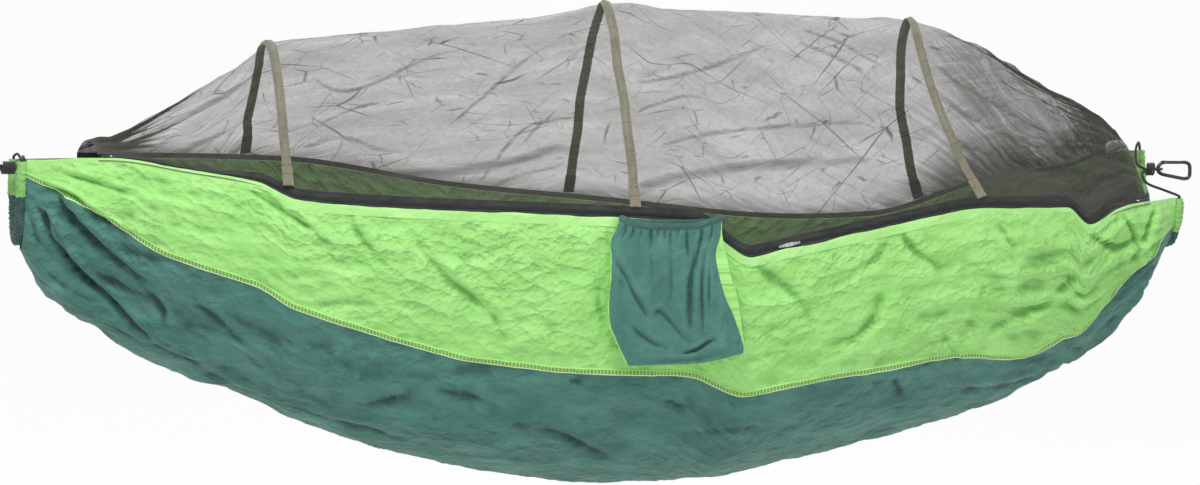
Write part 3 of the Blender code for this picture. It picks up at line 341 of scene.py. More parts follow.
@dataclass
class PointGrid:
    """A grid of points with their outward normals and their way across, in metres, from the first row."""

    points: np.ndarray
    normals: np.ndarray
    across: np.ndarray

    @classmethod
    def of(cls, columns: Rings, turned: bool = False) -> "PointGrid":
        """Measures columns of points, turned where the cross product of their two ways points inwards."""
        points = as_array(columns)
        along, over = np.gradient(points, axis=0), np.gradient(points, axis=1)
        normals = np.cross(over, along)
        normals /= np.maximum(np.linalg.norm(normals, axis=2, keepdims=True), 1e-9)
        if turned:
            normals = -normals
        steps = np.linalg.norm(np.diff(points, axis=1), axis=2)
        across = np.concatenate([np.zeros((len(points), 1)), np.cumsum(steps, axis=1)], axis=1)
        return cls(points, normals, across)

    def moved(self, lift: np.ndarray) -> np.ndarray:
        """The points moved out along their normals by the lift at each."""
        return self.points + self.normals * lift[:, :, None]


class Modelling:
    """Blender's own modelling steps, one piece at a time."""

    @staticmethod
    def deselect() -> None:
        """Leaves nothing selected, so that a step acts on one piece."""
        if bpy.context.object and bpy.context.object.mode != "OBJECT":
            bpy.ops.object.mode_set(mode="OBJECT")
        bpy.ops.object.select_all(action="DESELECT")

    @classmethod
    def only(cls, piece: Object) -> None:
        """Selects one piece and makes it the active one."""
        cls.deselect()
        piece.select_set(True)
        bpy.context.view_layer.objects.active = piece

    @classmethod
    def name_active(cls, name: str) -> Object:
        """Names the piece that was just added, and its mesh."""
        piece = bpy.context.object
        piece.name = piece.data.name = name
        return piece

    @classmethod
    def apply(cls, piece: Object) -> None:
        """Applies every modifier that the piece has, in order."""
        cls.only(piece)
        for modifier in list(piece.modifiers):
            bpy.ops.object.modifier_apply(modifier=modifier.name)

    @classmethod
    def edit(cls, piece: Object) -> None:
        """Opens a piece's mesh for editing, with all of it selected."""
        cls.only(piece)
        bpy.ops.object.mode_set(mode="EDIT")
        bpy.ops.mesh.select_all(action="SELECT")

    @classmethod
    def cut(cls, piece: Object, cutter: Object) -> None:
        """Takes a cutter's shape out of a piece and removes the cutter."""
        cls.only(piece)
        hole = piece.modifiers.new("cut", "BOOLEAN")
        hole.operation, hole.object = "DIFFERENCE", cutter
        cls.apply(piece)
        bpy.data.objects.remove(cutter, do_unlink=True)

    @classmethod
    def settle(cls, piece: Object) -> None:
        """Puts the object at the origin, unturned and unscaled, with its place in its mesh."""
        cls.only(piece)
        bpy.ops.object.transform_apply(location=True, rotation=True, scale=True)

    @classmethod
    def sheet(cls, name: str, points: np.ndarray, chart: np.ndarray | None = None,
              marks: np.ndarray | None = None) -> Object:
        """Adds a grid and shapes it to points about the middle of the rim, as cloth laid over a form.

        Args:
            name: The piece's name.
            points: Its points, by column and row.
            chart: Its flat coordinates in metres, by column and row.
            marks: How far each point lies in a fold, from 0 to 1, for its material to read as "fold".

        Returns:
            The shaped sheet.
        """
        columns, rows = points.shape[0] - 1, points.shape[1] - 1
        cls.deselect()
        bpy.ops.mesh.primitive_grid_add(x_subdivisions=columns, y_subdivisions=rows, size=2)
        piece = cls.name_active(name)
        mesh = piece.data
        flat = np.empty(len(mesh.vertices) * 3)
        mesh.vertices.foreach_get("co", flat)
        flat = flat.reshape(-1, 3)
        i = np.rint((flat[:, 0] + 1) / 2 * columns).astype(int)
        j = np.rint((flat[:, 1] + 1) / 2 * rows).astype(int)
        placed = points[i, j] + np.array(ORIGIN)
        mesh.vertices.foreach_set("co", placed.ravel())
        if chart is not None:
            corners = np.empty(len(mesh.loops), dtype=int)
            mesh.loops.foreach_get("vertex_index", corners)
            layer = mesh.uv_layers.active or mesh.uv_layers.new(name="UVMap")
            layer.data.foreach_set("uv", chart[i[corners], j[corners]].ravel())
        if marks is not None:
            folds = mesh.attributes.new("fold", "FLOAT", "POINT")
            folds.data.foreach_set("value", marks[i, j])
        mesh.update()
        return piece

    @classmethod
    def thicken(cls, piece: Object, thickness: float, painted_shade_side: bool = False) -> None:
        """Gives a sheet its thickness, half to each side, and where it has a painted-shade side its second material,
        the darker painted-shade copy, outside.
        """
        solid = piece.modifiers.new("thickness", "SOLIDIFY")
        solid.thickness = thickness
        solid.offset = 0.0
        solid.material_offset = solid.material_offset_rim = int(painted_shade_side)
        cls.apply(piece)

    @classmethod
    def loft(cls, name: str, rings: Rings, wrap: bool = False, marks: np.ndarray | None = None) -> Object:
        """Makes a closed body through rings of equally many points, with flat coordinates along and round it.

        Args:
            name: The piece's name.
            rings: The rings, each given once round.
            wrap: Whether the last ring runs on into the first, so that there are no ends.
            marks: How far each point lies in a fold, by ring, on a body that doesn't wrap.

        Returns:
            The closed body.
        """
        count = len(rings)
        ringed = [[*ring, ring[0]] for ring in rings]
        if wrap:
            ringed.append(ringed[0])
        points = as_array(ringed)
        middles = points[:, :-1].mean(axis=1)
        along = np.concatenate([[0], np.cumsum(np.linalg.norm(np.diff(middles, axis=0), axis=1))])
        around = np.linalg.norm(np.diff(points[count // 2], axis=0), axis=1)
        around = np.concatenate([[0], np.cumsum(around)])
        chart = np.stack(np.meshgrid(along, around, indexing="ij"), axis=-1)
        piece = cls.sheet(name, points, chart, None if marks is None else np.hstack([marks, marks[:, :1]]))
        cls.edit(piece)
        bpy.ops.mesh.remove_doubles(threshold=1e-6)
        if not wrap:
            bpy.ops.mesh.select_all(action="DESELECT")
            bpy.ops.mesh.select_mode(type="EDGE")
            bpy.ops.mesh.select_non_manifold(extend=False, use_wire=False, use_multi_face=False,
                                             use_non_contiguous=False, use_verts=False)
            bpy.ops.mesh.fill_holes(sides=0)
            bpy.ops.mesh.select_mode(type="VERT")
        bpy.ops.mesh.select_all(action="SELECT")
        bpy.ops.mesh.normals_make_consistent(inside=False)
        bpy.ops.object.mode_set(mode="OBJECT")
        return piece


def as_array(rings: Rings) -> np.ndarray:
    """Rings or columns of points as one array."""
    return np.array([[tuple(p) for p in ring] for ring in rings])


def ways_along(route: Route) -> list[float]:
    """The way to each point of a route from its first one."""
    ways = [0.0]
    for a, b in zip(route, route[1:]):
        ways.append(ways[-1] + (b - a).length)
    return ways


def level_left(way: Vector) -> Vector:
    """The level unit way to the left of a way."""
    return Vector((-way.y, way.x, 0)).normalized()


def frame_at(place: Vector, x: Vector, y: Vector, z: Vector) -> Matrix:
    """The matrix of a frame at a place, from its three unit ways."""
    return Matrix.Translation(place) @ Matrix((x, y, z)).transposed().to_4x4()


def turns_round(sides: int) -> list[float]:
    """The angles of evenly spaced points round a ring."""
    return [2 * math.pi * (k + 0.5) / sides for k in range(sides)]


def ring_round(place: Vector, side: Vector, over: Vector, radius: float, sides: int) -> list[Vector]:
    """A ring of points round a place, square to the unit ways side and over."""
    return [place + side * math.cos(a) * radius + over * math.sin(a) * radius for a in turns_round(sides)]


def rings_along(route: Route, radii: Sequence[float], sides: int, guide: Vector, cyclic: bool = False
                ) -> list[list[Vector]]:
    """Round rings along a route, each square to it, turned on evenly so that a braid doesn't twist.

    Args:
        route: The middle line.
        radii: The radius at each of its points.
        sides: How many points each ring has.
        guide: The way that the first ring's first half axis leans.
        cyclic: Whether the route closes on itself.

    Returns:
        One ring for each point of the route.
    """
    count = len(route)
    tangents = []
    for i in range(count):
        before = route[i - 1] if i > 0 or cyclic else route[0]
        after = route[(i + 1) % count] if i + 1 < count or cyclic else route[-1]
        tangents.append((after - before).normalized())
    side = (guide - tangents[0] * guide.dot(tangents[0])).normalized()
    frames = [side]
    for before, after in zip(tangents, tangents[1:]):
        side = before.rotation_difference(after) @ side
        side = (side - after * side.dot(after)).normalized()
        frames.append(side)
    slip = 0.0
    if cyclic:
        back = tangents[-1].rotation_difference(tangents[0]) @ frames[-1]
        slip = math.atan2(back.cross(frames[0]).dot(tangents[0]), back.dot(frames[0]))
    rings = []
    for i, (place, tangent, side, radius) in enumerate(zip(route, tangents, frames, radii)):
        turned = Matrix.Rotation(slip * i / count, 3, tangent) @ side
        rings.append(ring_round(place, turned, tangent.cross(turned), radius, sides))
    return rings


def smooth_route(points: Sequence[Vector], steps: int) -> Route:
    """A smooth curve through given points, with so many steps for each stretch."""
    places = [Vector(p) for p in points]
    route = []
    for i, (p1, p2) in enumerate(zip(places, places[1:])):
        p0 = places[i - 1] if i else p1 * 2 - p2
        p3 = places[i + 2] if i + 2 < len(places) else p2 * 2 - p1
        for k in range(steps):
            t = k / steps
            route.append(((p1 * 2) + (p2 - p0) * t + (p0 * 2 - p1 * 5 + p2 * 4 - p3) * t * t
                          + (p1 * 3 - p0 - p2 * 3 + p3) * t * t * t) / 2)
    route.append(places[-1])
    return route


def wave(x: float, y: float, z: float) -> float:
    """Soft noise at a place that is already scaled, about 0 and between -1 and 1."""
    return noise.noise(Vector((x, y, z)))


def ridged(x: float, y: float, z: float, sharpness: float) -> float:
    """Noise from 0 in the hollows to 1 on its crests, which are narrower the higher the sharpness."""
    return (1.0 - min(1.0, abs(wave(x, y, z)) * 1.6)) ** sharpness


def blurred(values: np.ndarray, reach: int) -> np.ndarray:
    """Evens out a grid of numbers over so many steps to each side."""
    weights = np.ones(2 * reach + 1) / (2 * reach + 1)
    for axis in (0, 1):
        values = np.swapaxes(values, 0, axis)
        padded = np.pad(values, ((reach, reach), (0, 0)), "edge")
        values = sum(w * padded[k:k + len(values)] for k, w in enumerate(weights))
        values = np.swapaxes(values, 0, axis)
    return values


def crumple(x: float, y: float, z: float) -> float:
    """Hollows about 1 across that meet in crisp ridges, as in crushed nylon, between -0.45 and 0.55."""
    place = Vector((x, y, z))
    warp = noise.noise_vector(place * 0.7) * 0.9
    distances, _ = noise.voronoi(place + warp)
    return min(1.0, distances[0] ** 2 * 1.8) - 0.45


class NodeBoard:
    """A material's nodes, added and wired in a few words."""

    def __init__(self, name: str, roughness: float, metallic: float = 0.0, sheen: float = 0.0,
                 specular: float = 0.5) -> None:
        """Starts a material of this name on one Principled shader with these values."""
        self.material = bpy.data.materials.new(name)
        self.material.use_nodes = True
        self.tree = self.material.node_tree
        self.shader = self.tree.nodes["Principled BSDF"]
        self.give("Roughness", roughness)
        self.give("Metallic", metallic)
        self.give("Sheen Weight", sheen)
        self.give("Specular IOR Level", specular)
        self.coordinates = self.tree.nodes.new("ShaderNodeTexCoord")

    def node(self, kind: str, **settings: object) -> bpy.types.Node:
        """Adds a node and sets its properties or, where it has none of that name, its inputs."""
        made = self.tree.nodes.new("ShaderNode" + kind)
        for key, value in settings.items():
            if hasattr(made, key):
                setattr(made, key, value)
            else:
                made.inputs[key.replace("_", " ").title()].default_value = value
        return made

    def wire(self, source: Socket, target: Socket) -> None:
        """Joins two sockets."""
        self.tree.links.new(source, target)

    def give(self, name: str, value: float) -> None:
        """Sets one of the shader's own inputs."""
        self.shader.inputs[name].default_value = value

    def feed(self, name: str, value: Socket) -> None:
        """Joins a value to one of the shader's own inputs."""
        self.wire(value, self.shader.inputs[name])

    def place(self, chart: bool, stretch: Sequence[float], warp: float = 0.0, turn: float = 0.0) -> Socket:
        """The coordinates that a pattern reads.

        Args:
            chart: Whether it follows the piece's flat coordinates rather than the object's.
            stretch: How many pattern cells there are in a metre each way.
            warp: How far, in cells, noise pushes the pattern about.
            turn: How far its ways are turned, in radians.

        Returns:
            The socket with the coordinates.
        """
        mapping = self.node("Mapping", vector_type="TEXTURE")
        mapping.inputs["Scale"].default_value = tuple(1 / cells for cells in stretch)
        mapping.inputs["Rotation"].default_value = (0.0, 0.0, turn) if chart else (0.0, turn, 0.0)
        self.wire(self.coordinates.outputs["UV" if chart else "Object"], mapping.inputs["Vector"])
        if not warp:
            return mapping.outputs["Vector"]
        push = self.node("TexNoise", noise_dimensions="3D", scale=0.8, detail=2.0)
        self.wire(mapping.outputs["Vector"], push.inputs["Vector"])
        centred = self.node("VectorMath", operation="SUBTRACT")
        centred.inputs[1].default_value = (0.5, 0.5, 0.5)
        self.wire(push.outputs["Color"], centred.inputs[0])
        scaled = self.node("VectorMath", operation="SCALE", scale=warp)
        self.wire(centred.outputs["Vector"], scaled.inputs[0])
        added = self.node("VectorMath", operation="ADD")
        self.wire(mapping.outputs["Vector"], added.inputs[0])
        self.wire(scaled.outputs["Vector"], added.inputs[1])
        return added.outputs["Vector"]

    def flat(self) -> tuple[Socket, Socket]:
        """The ways along and across the piece in metres, from its flat coordinates."""
        split = self.node("SeparateXYZ")
        self.wire(self.coordinates.outputs["UV"], split.inputs["Vector"])
        return split.outputs["X"], split.outputs["Y"]

    def noise(self, place: Socket, detail: float = 3.0, roughness: float = 0.5) -> Socket:
        """Soft noise, about 0.5, with one cell to each unit of its place."""
        made = self.node("TexNoise", detail=detail, scale=1.0)
        made.inputs["Roughness"].default_value = roughness
        self.wire(place, made.inputs["Vector"])
        return made.outputs["Fac"]

    def crests(self, place: Socket, detail: float = 3.0) -> Socket:
        """Crisp crests that wander over the surface, from 0 in the hollows to 1 on a crest."""
        made = self.node("TexNoise", noise_type="RIDGED_MULTIFRACTAL", normalize=False, detail=detail, scale=1.0)
        made.inputs["Roughness"].default_value = 0.55
        self.wire(place, made.inputs["Vector"])
        return self.span(made.outputs["Fac"], 0.4, 2.2, 0.0, 1.0)

    def cracks(self, place: Socket, width: float) -> Socket:
        """Thin straight creases that meet and cross, from 1 on a crease to 0 at its width beside it."""
        made = self.node("TexVoronoi", voronoi_dimensions="2D", feature="DISTANCE_TO_EDGE", scale=1.0)
        self.wire(place, made.inputs["Vector"])
        return self.span(made.outputs["Distance"], 0.0, width, 1.0, 0.0)

    def dents(self, place: Socket) -> Socket:
        """Round hollows that meet in crisp ridges, from 0 in a hollow to about 0.8 where ridges meet."""
        made = self.node("TexVoronoi", feature="F1", scale=1.0)
        self.wire(place, made.inputs["Vector"])
        return self.math("POWER", made.outputs["Distance"], 2.0)

    def fold(self) -> Socket:
        """How far the place lies in a fold, where the piece says so, and else 0."""
        return self.node("Attribute", attribute_name="fold").outputs["Fac"]

    def blend(self, layers: Sequence[tuple[Socket, float]]) -> Socket:
        """The sum of (value, weight) layers."""
        total = self.math("MULTIPLY", *layers[0])
        for value, weight in layers[1:]:
            total = self.math("ADD", total, self.math("MULTIPLY", value, weight))
        return total

    def threads(self, place: Socket, way: str) -> Socket:
        """Parallel threads across one way of the pattern, one to each unit."""
        made = self.node("TexWave", wave_type="BANDS", bands_direction=way, wave_profile="SIN")
        made.inputs["Scale"].default_value = 0.3142
        self.wire(place, made.inputs["Vector"])
        return made.outputs["Fac"]

    def math(self, operation: str, first: Socket | float, second: Socket | float = 0.0) -> Socket:
        """A sum on two sockets or numbers."""
        made = self.node("Math", operation=operation)
        for socket, value in zip(made.inputs, (first, second)):
            if isinstance(value, Socket):
                self.wire(value, socket)
            else:
                socket.default_value = value
        return made.outputs["Value"]

    def span(self, value: Socket, low: float, high: float, to_low: float, to_high: float) -> Socket:
        """Maps a value's span onto another, held at its ends."""
        made = self.node("MapRange")
        for name, number in (("From Min", low), ("From Max", high), ("To Min", to_low), ("To Max", to_high)):
            made.inputs[name].default_value = number
        self.wire(value, made.inputs["Value"])
        return made.outputs["Result"]

    def tint(self, value: Socket, stops: Sequence[tuple[float, Colour]]) -> Socket:
        """Turns a value into a colour through a ramp of stops."""
        ramp = self.node("ValToRGB")
        slots = ramp.color_ramp.elements
        for k, (place, colour) in enumerate(stops):
            slot = slots[k] if k < 2 else slots.new(place)
            slot.position = place
            slot.color = (*colour, 1.0)
        self.wire(value, ramp.inputs["Fac"])
        return ramp.outputs["Color"]

    def shade(self, colour: Socket, amount: Socket, over: Colour) -> Socket:
        """Lays another colour over one, by the amount."""
        mix = self.node("Mix", data_type="RGBA")
        self.wire(amount, mix.inputs["Factor"])
        self.wire(colour, mix.inputs[6])
        mix.inputs[7].default_value = (*over, 1.0)
        return mix.outputs[2]

    def relief(self, layers: Sequence[tuple[Socket, float]]) -> None:
        """Raises the surface by layers of (height, depth in metres), one over the other."""
        last = None
        for height, depth in layers:
            bump = self.node("Bump")
            bump.inputs["Strength"].default_value = 1.0
            bump.inputs["Distance"].default_value = depth
            self.wire(height, bump.inputs["Height"])
            if last is not None:
                self.wire(last, bump.inputs["Normal"])
            last = bump.outputs["Normal"]
        self.feed("Normal", last)


@dataclass(frozen=True)
class NylonFinish:
    """Light woven nylon, crushed all over into crisp ridges, with a soft sheen, painted highlights on its crests and
    painted shade in its hollows and folds.
    """

    name: str
    # lit and worn are the ends of a random tone; on the crests lit is also a painted highlight and in the hollows worn
    # is painted shade
    lit: Colour
    worn: Colour
    # crease is the colour of the painted shade laid into marked folds
    crease: Colour
    depth: float = 0.030
    # ridge sets how strongly the crests are painted lighter and the hollows darker
    ridge: float = 0.38

    def build(self) -> Material:
        """Makes the cloth's material."""
        board = NodeBoard(self.name, 0.6, sheen=0.12, specular=0.35)

        def place(along: float, across: float, warp: float, turn: float) -> Socket:
            """Pattern coordinates on this cloth."""
            return board.place(True, (along, across, across), warp, turn)

        patches = board.noise(place(3.5, 5.0, 0.0, 0.0), 2.0)
        calm = board.span(patches, 0.36, 0.62, 0.45, 1.15)
        height = board.blend((
            (board.crests(place(7.0, 17.0, 1.3, 0.35)), 0.30),
            (board.crests(place(17.0, 40.0, 1.2, -0.75)), 0.26),
            (board.dents(place(26.0, 44.0, 0.9, 0.3)), 0.34),
            (board.dents(place(62.0, 92.0, 0.9, -0.5)), 0.13),
            (board.noise(place(120.0, 190.0, 0.0, 0.2), 4.0, 0.65), 0.05),
        ))
        height = board.math("MULTIPLY", height, calm)
        soft = board.noise(place(7.0, 16.0, 0.0, 0.0), 4.0, 0.6)
        # Painted highlight and shade: the relief's height pushes the colour to lit on the crests and to worn in the
        # hollows
        colour = board.tint(board.blend(((soft, 1.0), (height, self.ridge))),
                            ((0.42, self.worn), (0.72, self.lit)))
        # Painted shade: the colour darkens to crease where the piece marks a fold
        colour = board.shade(colour, board.math("MULTIPLY", board.fold(), 0.85), self.crease)
        board.feed("Base Color", colour)
        board.feed("Roughness", board.span(soft, 0.3, 0.7, 0.66, 0.5))
        weave = board.math("ADD", board.threads(place(1400.0, 1400.0, 0.0, 0.0), "X"),
                           board.threads(place(1400.0, 1400.0, 0.0, 0.0), "Y"))
        board.relief(((height, self.depth), (weave, 0.00003)))
        return board.material


@dataclass(frozen=True)
class SeamFinish:
    """A lapped seam allowance with rows of stitches along it and a painted highlight along its folded edge."""

    name: str = "seam_lime_stitched"
    cloth: Colour = (0.42, 0.84, 0.24)
    # edge is the lighter colour painted along the folded edge as a highlight
    edge: Colour = (0.70, 0.95, 0.50)
    thread: Colour = (0.16, 0.24, 0.06)
    width: float = 0.014
    rows: tuple[float, ...] = (0.30, 0.52, 0.74)
    stitch: float = 0.0075

    def build(self) -> Material:
        """Makes the seam's material, on flat coordinates along (u) and across (v)."""
        board = NodeBoard(self.name, 0.6, sheen=0.1, specular=0.3)
        along, across = board.flat()
        dash = board.math("FRACT", board.math("DIVIDE", along, self.stitch))
        dash = board.math("LESS_THAN", dash, 0.68)
        lines = None
        for row in self.rows:
            away = board.math("ABSOLUTE", board.math("SUBTRACT", across, row * self.width))
            line = board.math("LESS_THAN", away, 0.0013)
            lines = line if lines is None else board.math("MAXIMUM", lines, line)
        stitched = board.math("MULTIPLY", lines, dash)
        # Painted highlight: the strip by the folded edge takes the lighter edge colour
        colour = board.tint(board.math("DIVIDE", across, self.width),
                            ((0.0, self.cloth), (0.78, self.cloth), (0.82, self.edge), (1.0, self.edge)))
        colour = board.shade(colour, board.math("MULTIPLY", stitched, 0.85), self.thread)
        board.feed("Base Color", colour)
        pucker = board.noise(board.place(True, (110.0, 60.0, 60.0)), 3.0)
        board.relief(((board.math("SUBTRACT", 1.0, lines), 0.0008), (pucker, 0.0015), (stitched, 0.0005)))
        return board.material


@dataclass(frozen=True)
class NetFinish:
    """Fine mosquito mesh: see-through, darker where it is creased, bunched or doubled."""

    name: str = "mosquito_mesh"
    thread: Colour = (0.080, 0.080, 0.066)
    crease: Colour = (0.040, 0.040, 0.032)
    bunched: Colour = (0.085, 0.086, 0.070)
    cover: float = 0.165
    crease_cover: float = 0.64
    fold_cover: float = 0.60

    def build(self) -> Material:
        """Makes the mesh's material; each of the sheet's two faces covers a part of what is behind."""
        board = NodeBoard(self.name, 0.75, sheen=0.1, specular=0.2)
        lines = None
        for stretch, warp, turn, width, strength, kept in (
            ((3.2, 13.0, 13.0), 0.3, 0.55, 0.030, 1.0, 0.49), ((5.0, 20.0, 20.0), 0.3, 0.25, 0.040, 0.8, 0.49),
            ((8.0, 30.0, 30.0), 0.4, 0.75, 0.055, 0.66, 0.48), ((20.0, 56.0, 56.0), 0.5, 0.45, 0.09, 0.42, 0.42),
        ):
            crack = board.cracks(board.place(True, stretch, warp, turn), width)
            broken = board.noise(board.place(True, [cells * 0.7 for cells in stretch], 0.0, turn + 0.3), 2.0)
            line = board.math("MULTIPLY", crack, board.span(broken, kept, kept + 0.14, 0.0, strength))
            lines = line if lines is None else board.math("MAXIMUM", lines, line)
        haze = board.noise(board.place(True, (3.0, 16.0, 16.0), 1.2, 0.1), 4.0, 0.6)
        streaks = board.noise(board.place(True, (7.0, 60.0, 60.0), 1.4, 0.15), 4.0, 0.65)
        fold = board.math("MULTIPLY", board.fold(), board.span(streaks, 0.3, 0.62, 0.45, 1.0))
        fine = board.noise(board.place(True, (60.0, 110.0, 110.0), 1.0, 0.5), 3.0, 0.7)
        cover = board.span(board.blend(((haze, 0.72), (fine, 0.28))), 0.38, 0.66, self.cover * 0.72, self.cover * 1.5)
        mesh = board.math("MULTIPLY", board.threads(board.place(True, (420.0, 420.0, 420.0)), "X"),
                          board.threads(board.place(True, (420.0, 420.0, 420.0)), "Y"))
        cover = board.math("MULTIPLY", cover, board.span(mesh, 0.0, 1.0, 1.15, 0.7))
        cover = board.math("MAXIMUM", cover, board.math("MULTIPLY", lines, self.crease_cover))
        cover = board.math("MAXIMUM", cover, board.math("MULTIPLY", fold, self.fold_cover))
        board.feed("Alpha", cover)
        colour = board.tint(lines, ((0.0, self.thread), (1.0, self.crease)))
        colour = board.shade(colour, fold, self.bunched)
        board.feed("Base Color", colour)
        board.relief(((haze, 0.006), (lines, 0.002)))
        return board.material


@dataclass(frozen=True)
class WebbingFinish:
    """Narrow woven tape with ribs along it and a stitch line near each edge."""

    name: str
    lit: Colour
    worn: Colour
    thread: Colour
    stitch_space: float = 0.034
    seam: Colour = (0.085, 0.078, 0.052)

    def build(self) -> Material:
        """Makes the webbing's material, on flat coordinates along (u) and across (v)."""
        board = NodeBoard(self.name, 0.86, sheen=0.25, specular=0.2)
        ribs = board.threads(board.place(True, (1.0, 900.0, 1.0)), "Y")
        picks = board.threads(board.place(True, (1100.0, 1.0, 1.0)), "X")
        patch = board.noise(board.place(True, (22.0, 120.0, 120.0)), 4.0, 0.65)
        colour = board.tint(patch, ((0.3, self.worn), (0.65, self.lit)))
        streak = board.noise(board.place(True, (9.0, 420.0, 420.0)), 2.0)
        colour = board.shade(colour, board.span(streak, 0.5, 0.75, 0.0, 0.45), self.thread)
        # Painted shade: darker towards worn in the grooves between the ribs
        colour = board.shade(colour, board.span(ribs, 0.0, 0.35, 0.35, 0.0), self.worn)
        bar = board.math("FRACT", board.math("DIVIDE", board.flat()[0], self.stitch_space))
        bar = board.span(board.math("ABSOLUTE", board.math("SUBTRACT", bar, 0.5)), 0.0, 0.035, 0.75, 0.0)
        colour = board.shade(colour, bar, self.seam)
        board.feed("Base Color", colour)
        board.relief(((ribs, 0.00022), (picks, 0.00010), (patch, 0.0008), (board.math("SUBTRACT", 1.0, bar), 0.0006)))
        return board.material


@dataclass(frozen=True)
class BlackTapeFinish:
    """Black or near-black woven tape, as on the zip and the rear hem."""

    name: str = "black_zip_tape"
    lit: Colour = (0.052, 0.058, 0.054)
    worn: Colour = (0.024, 0.028, 0.027)

    def build(self) -> Material:
        """Makes the tape's material."""
        board = NodeBoard(self.name, 0.8, sheen=0.15, specular=0.3)
        patch = board.noise(board.place(False, (30.0, 30.0, 60.0)), 4.0)
        board.feed("Base Color", board.tint(patch, ((0.3, self.worn), (0.7, self.lit))))
        ribs = board.threads(board.place(False, (900.0, 900.0, 900.0)), "Z")
        picks = board.threads(board.place(False, (700.0, 700.0, 700.0)), "X")
        board.relief(((patch, 0.0012), (board.math("MULTIPLY", ribs, picks), 0.0001)))
        return board.material


@dataclass(frozen=True)
class CoilFinish:
    """The black nylon coil of a zip, ribbed crosswise by its teeth."""

    name: str = "black_zip_coil"
    colour: Colour = (0.018, 0.018, 0.019)
    valley_painted_shade: Colour = (0.006, 0.006, 0.006)
    pitch: float = 0.0016

    def build(self) -> Material:
        """Makes the coil's material."""
        board = NodeBoard(self.name, 0.32, specular=0.5)
        teeth = board.threads(board.place(False, (1 / self.pitch, 1.0, 1.0)), "X")
        # Painted shade: darker between the teeth
        board.feed("Base Color", board.tint(teeth, ((0.2, self.valley_painted_shade), (0.7, self.colour))))
        worn = board.noise(board.place(False, (80.0, 80.0, 80.0)), 3.0)
        board.feed("Roughness", board.span(worn, 0.3, 0.7, 0.26, 0.42))
        board.relief(((teeth, 0.0005),))
        return board.material


@dataclass(frozen=True)
class MetalFinish:
    """Polished, plated or painted metal, with fine handling marks."""

    name: str
    colour: Colour
    marks: Colour
    low_roughness: float
    high_roughness: float
    metallic: float = 1.0
    coat: float = 0.0

    def build(self) -> Material:
        """Makes the metal's material."""
        board = NodeBoard(self.name, self.low_roughness, metallic=self.metallic)
        board.give("Coat Weight", self.coat)
        board.give("Coat Roughness", 0.12)
        cloudy = board.noise(board.place(False, (160.0, 160.0, 160.0)), 4.0, 0.6)
        scuffs = board.noise(board.place(False, (900.0, 240.0, 900.0)), 3.0, 0.7)
        colour = board.tint(cloudy, ((0.35, self.colour), (0.75, self.marks)))
        board.feed("Base Color", colour)
        rough = board.span(scuffs, 0.3, 0.75, self.low_roughness, self.high_roughness)
        board.feed("Roughness", rough)
        board.relief(((scuffs, 0.00006),))
        return board.material


@dataclass(frozen=True)
class CordFinish:
    """A braided black cord, on flat coordinates along (u) and round (v)."""

    name: str = "black_braid"
    lit: Colour = (0.055, 0.050, 0.058)
    worn: Colour = (0.010, 0.009, 0.011)
    strand: float = 0.0016

    def build(self) -> Material:
        """Makes the braid from two sets of threads that cross on the slant."""
        board = NodeBoard(self.name, 0.6, sheen=0.3, specular=0.35)
        sets = []
        for turn in (0.9, -0.9):
            mapping = board.node("Mapping")
            mapping.inputs["Rotation"].default_value = (0.0, 0.0, turn)
            mapping.inputs["Scale"].default_value = (1 / self.strand,) * 3
            board.wire(board.coordinates.outputs["UV"], mapping.inputs["Vector"])
            sets.append(board.threads(mapping.outputs["Vector"], "X"))
        braid = board.math("MULTIPLY", *sets)
        # Painted highlight and shade: the strands' crowns take lit and the crossings between them take worn
        board.feed("Base Color", board.tint(braid, ((0.05, self.worn), (0.6, self.lit))))
        board.relief(((braid, 0.0005),))
        return board.material


@dataclass(frozen=True)
class PlainFibreFinish:
    """Moulded or drawn fibre such as a rod or an elastic, with a fine lengthwise grain."""

    name: str
    lit: Colour
    worn: Colour
    roughness: float
    grain: tuple[float, float, float] = (300.0, 300.0, 300.0)

    def build(self) -> Material:
        """Makes the fibre's material."""
        board = NodeBoard(self.name, self.roughness)
        grain = board.noise(board.place(False, self.grain), 4.0, 0.6)
        board.feed("Base Color", board.tint(grain, ((0.3, self.worn), (0.7, self.lit))))
        board.feed("Roughness", board.span(grain, 0.3, 0.7, self.roughness, self.roughness + 0.15))
        board.relief(((grain, 0.0001),))
        return board.material


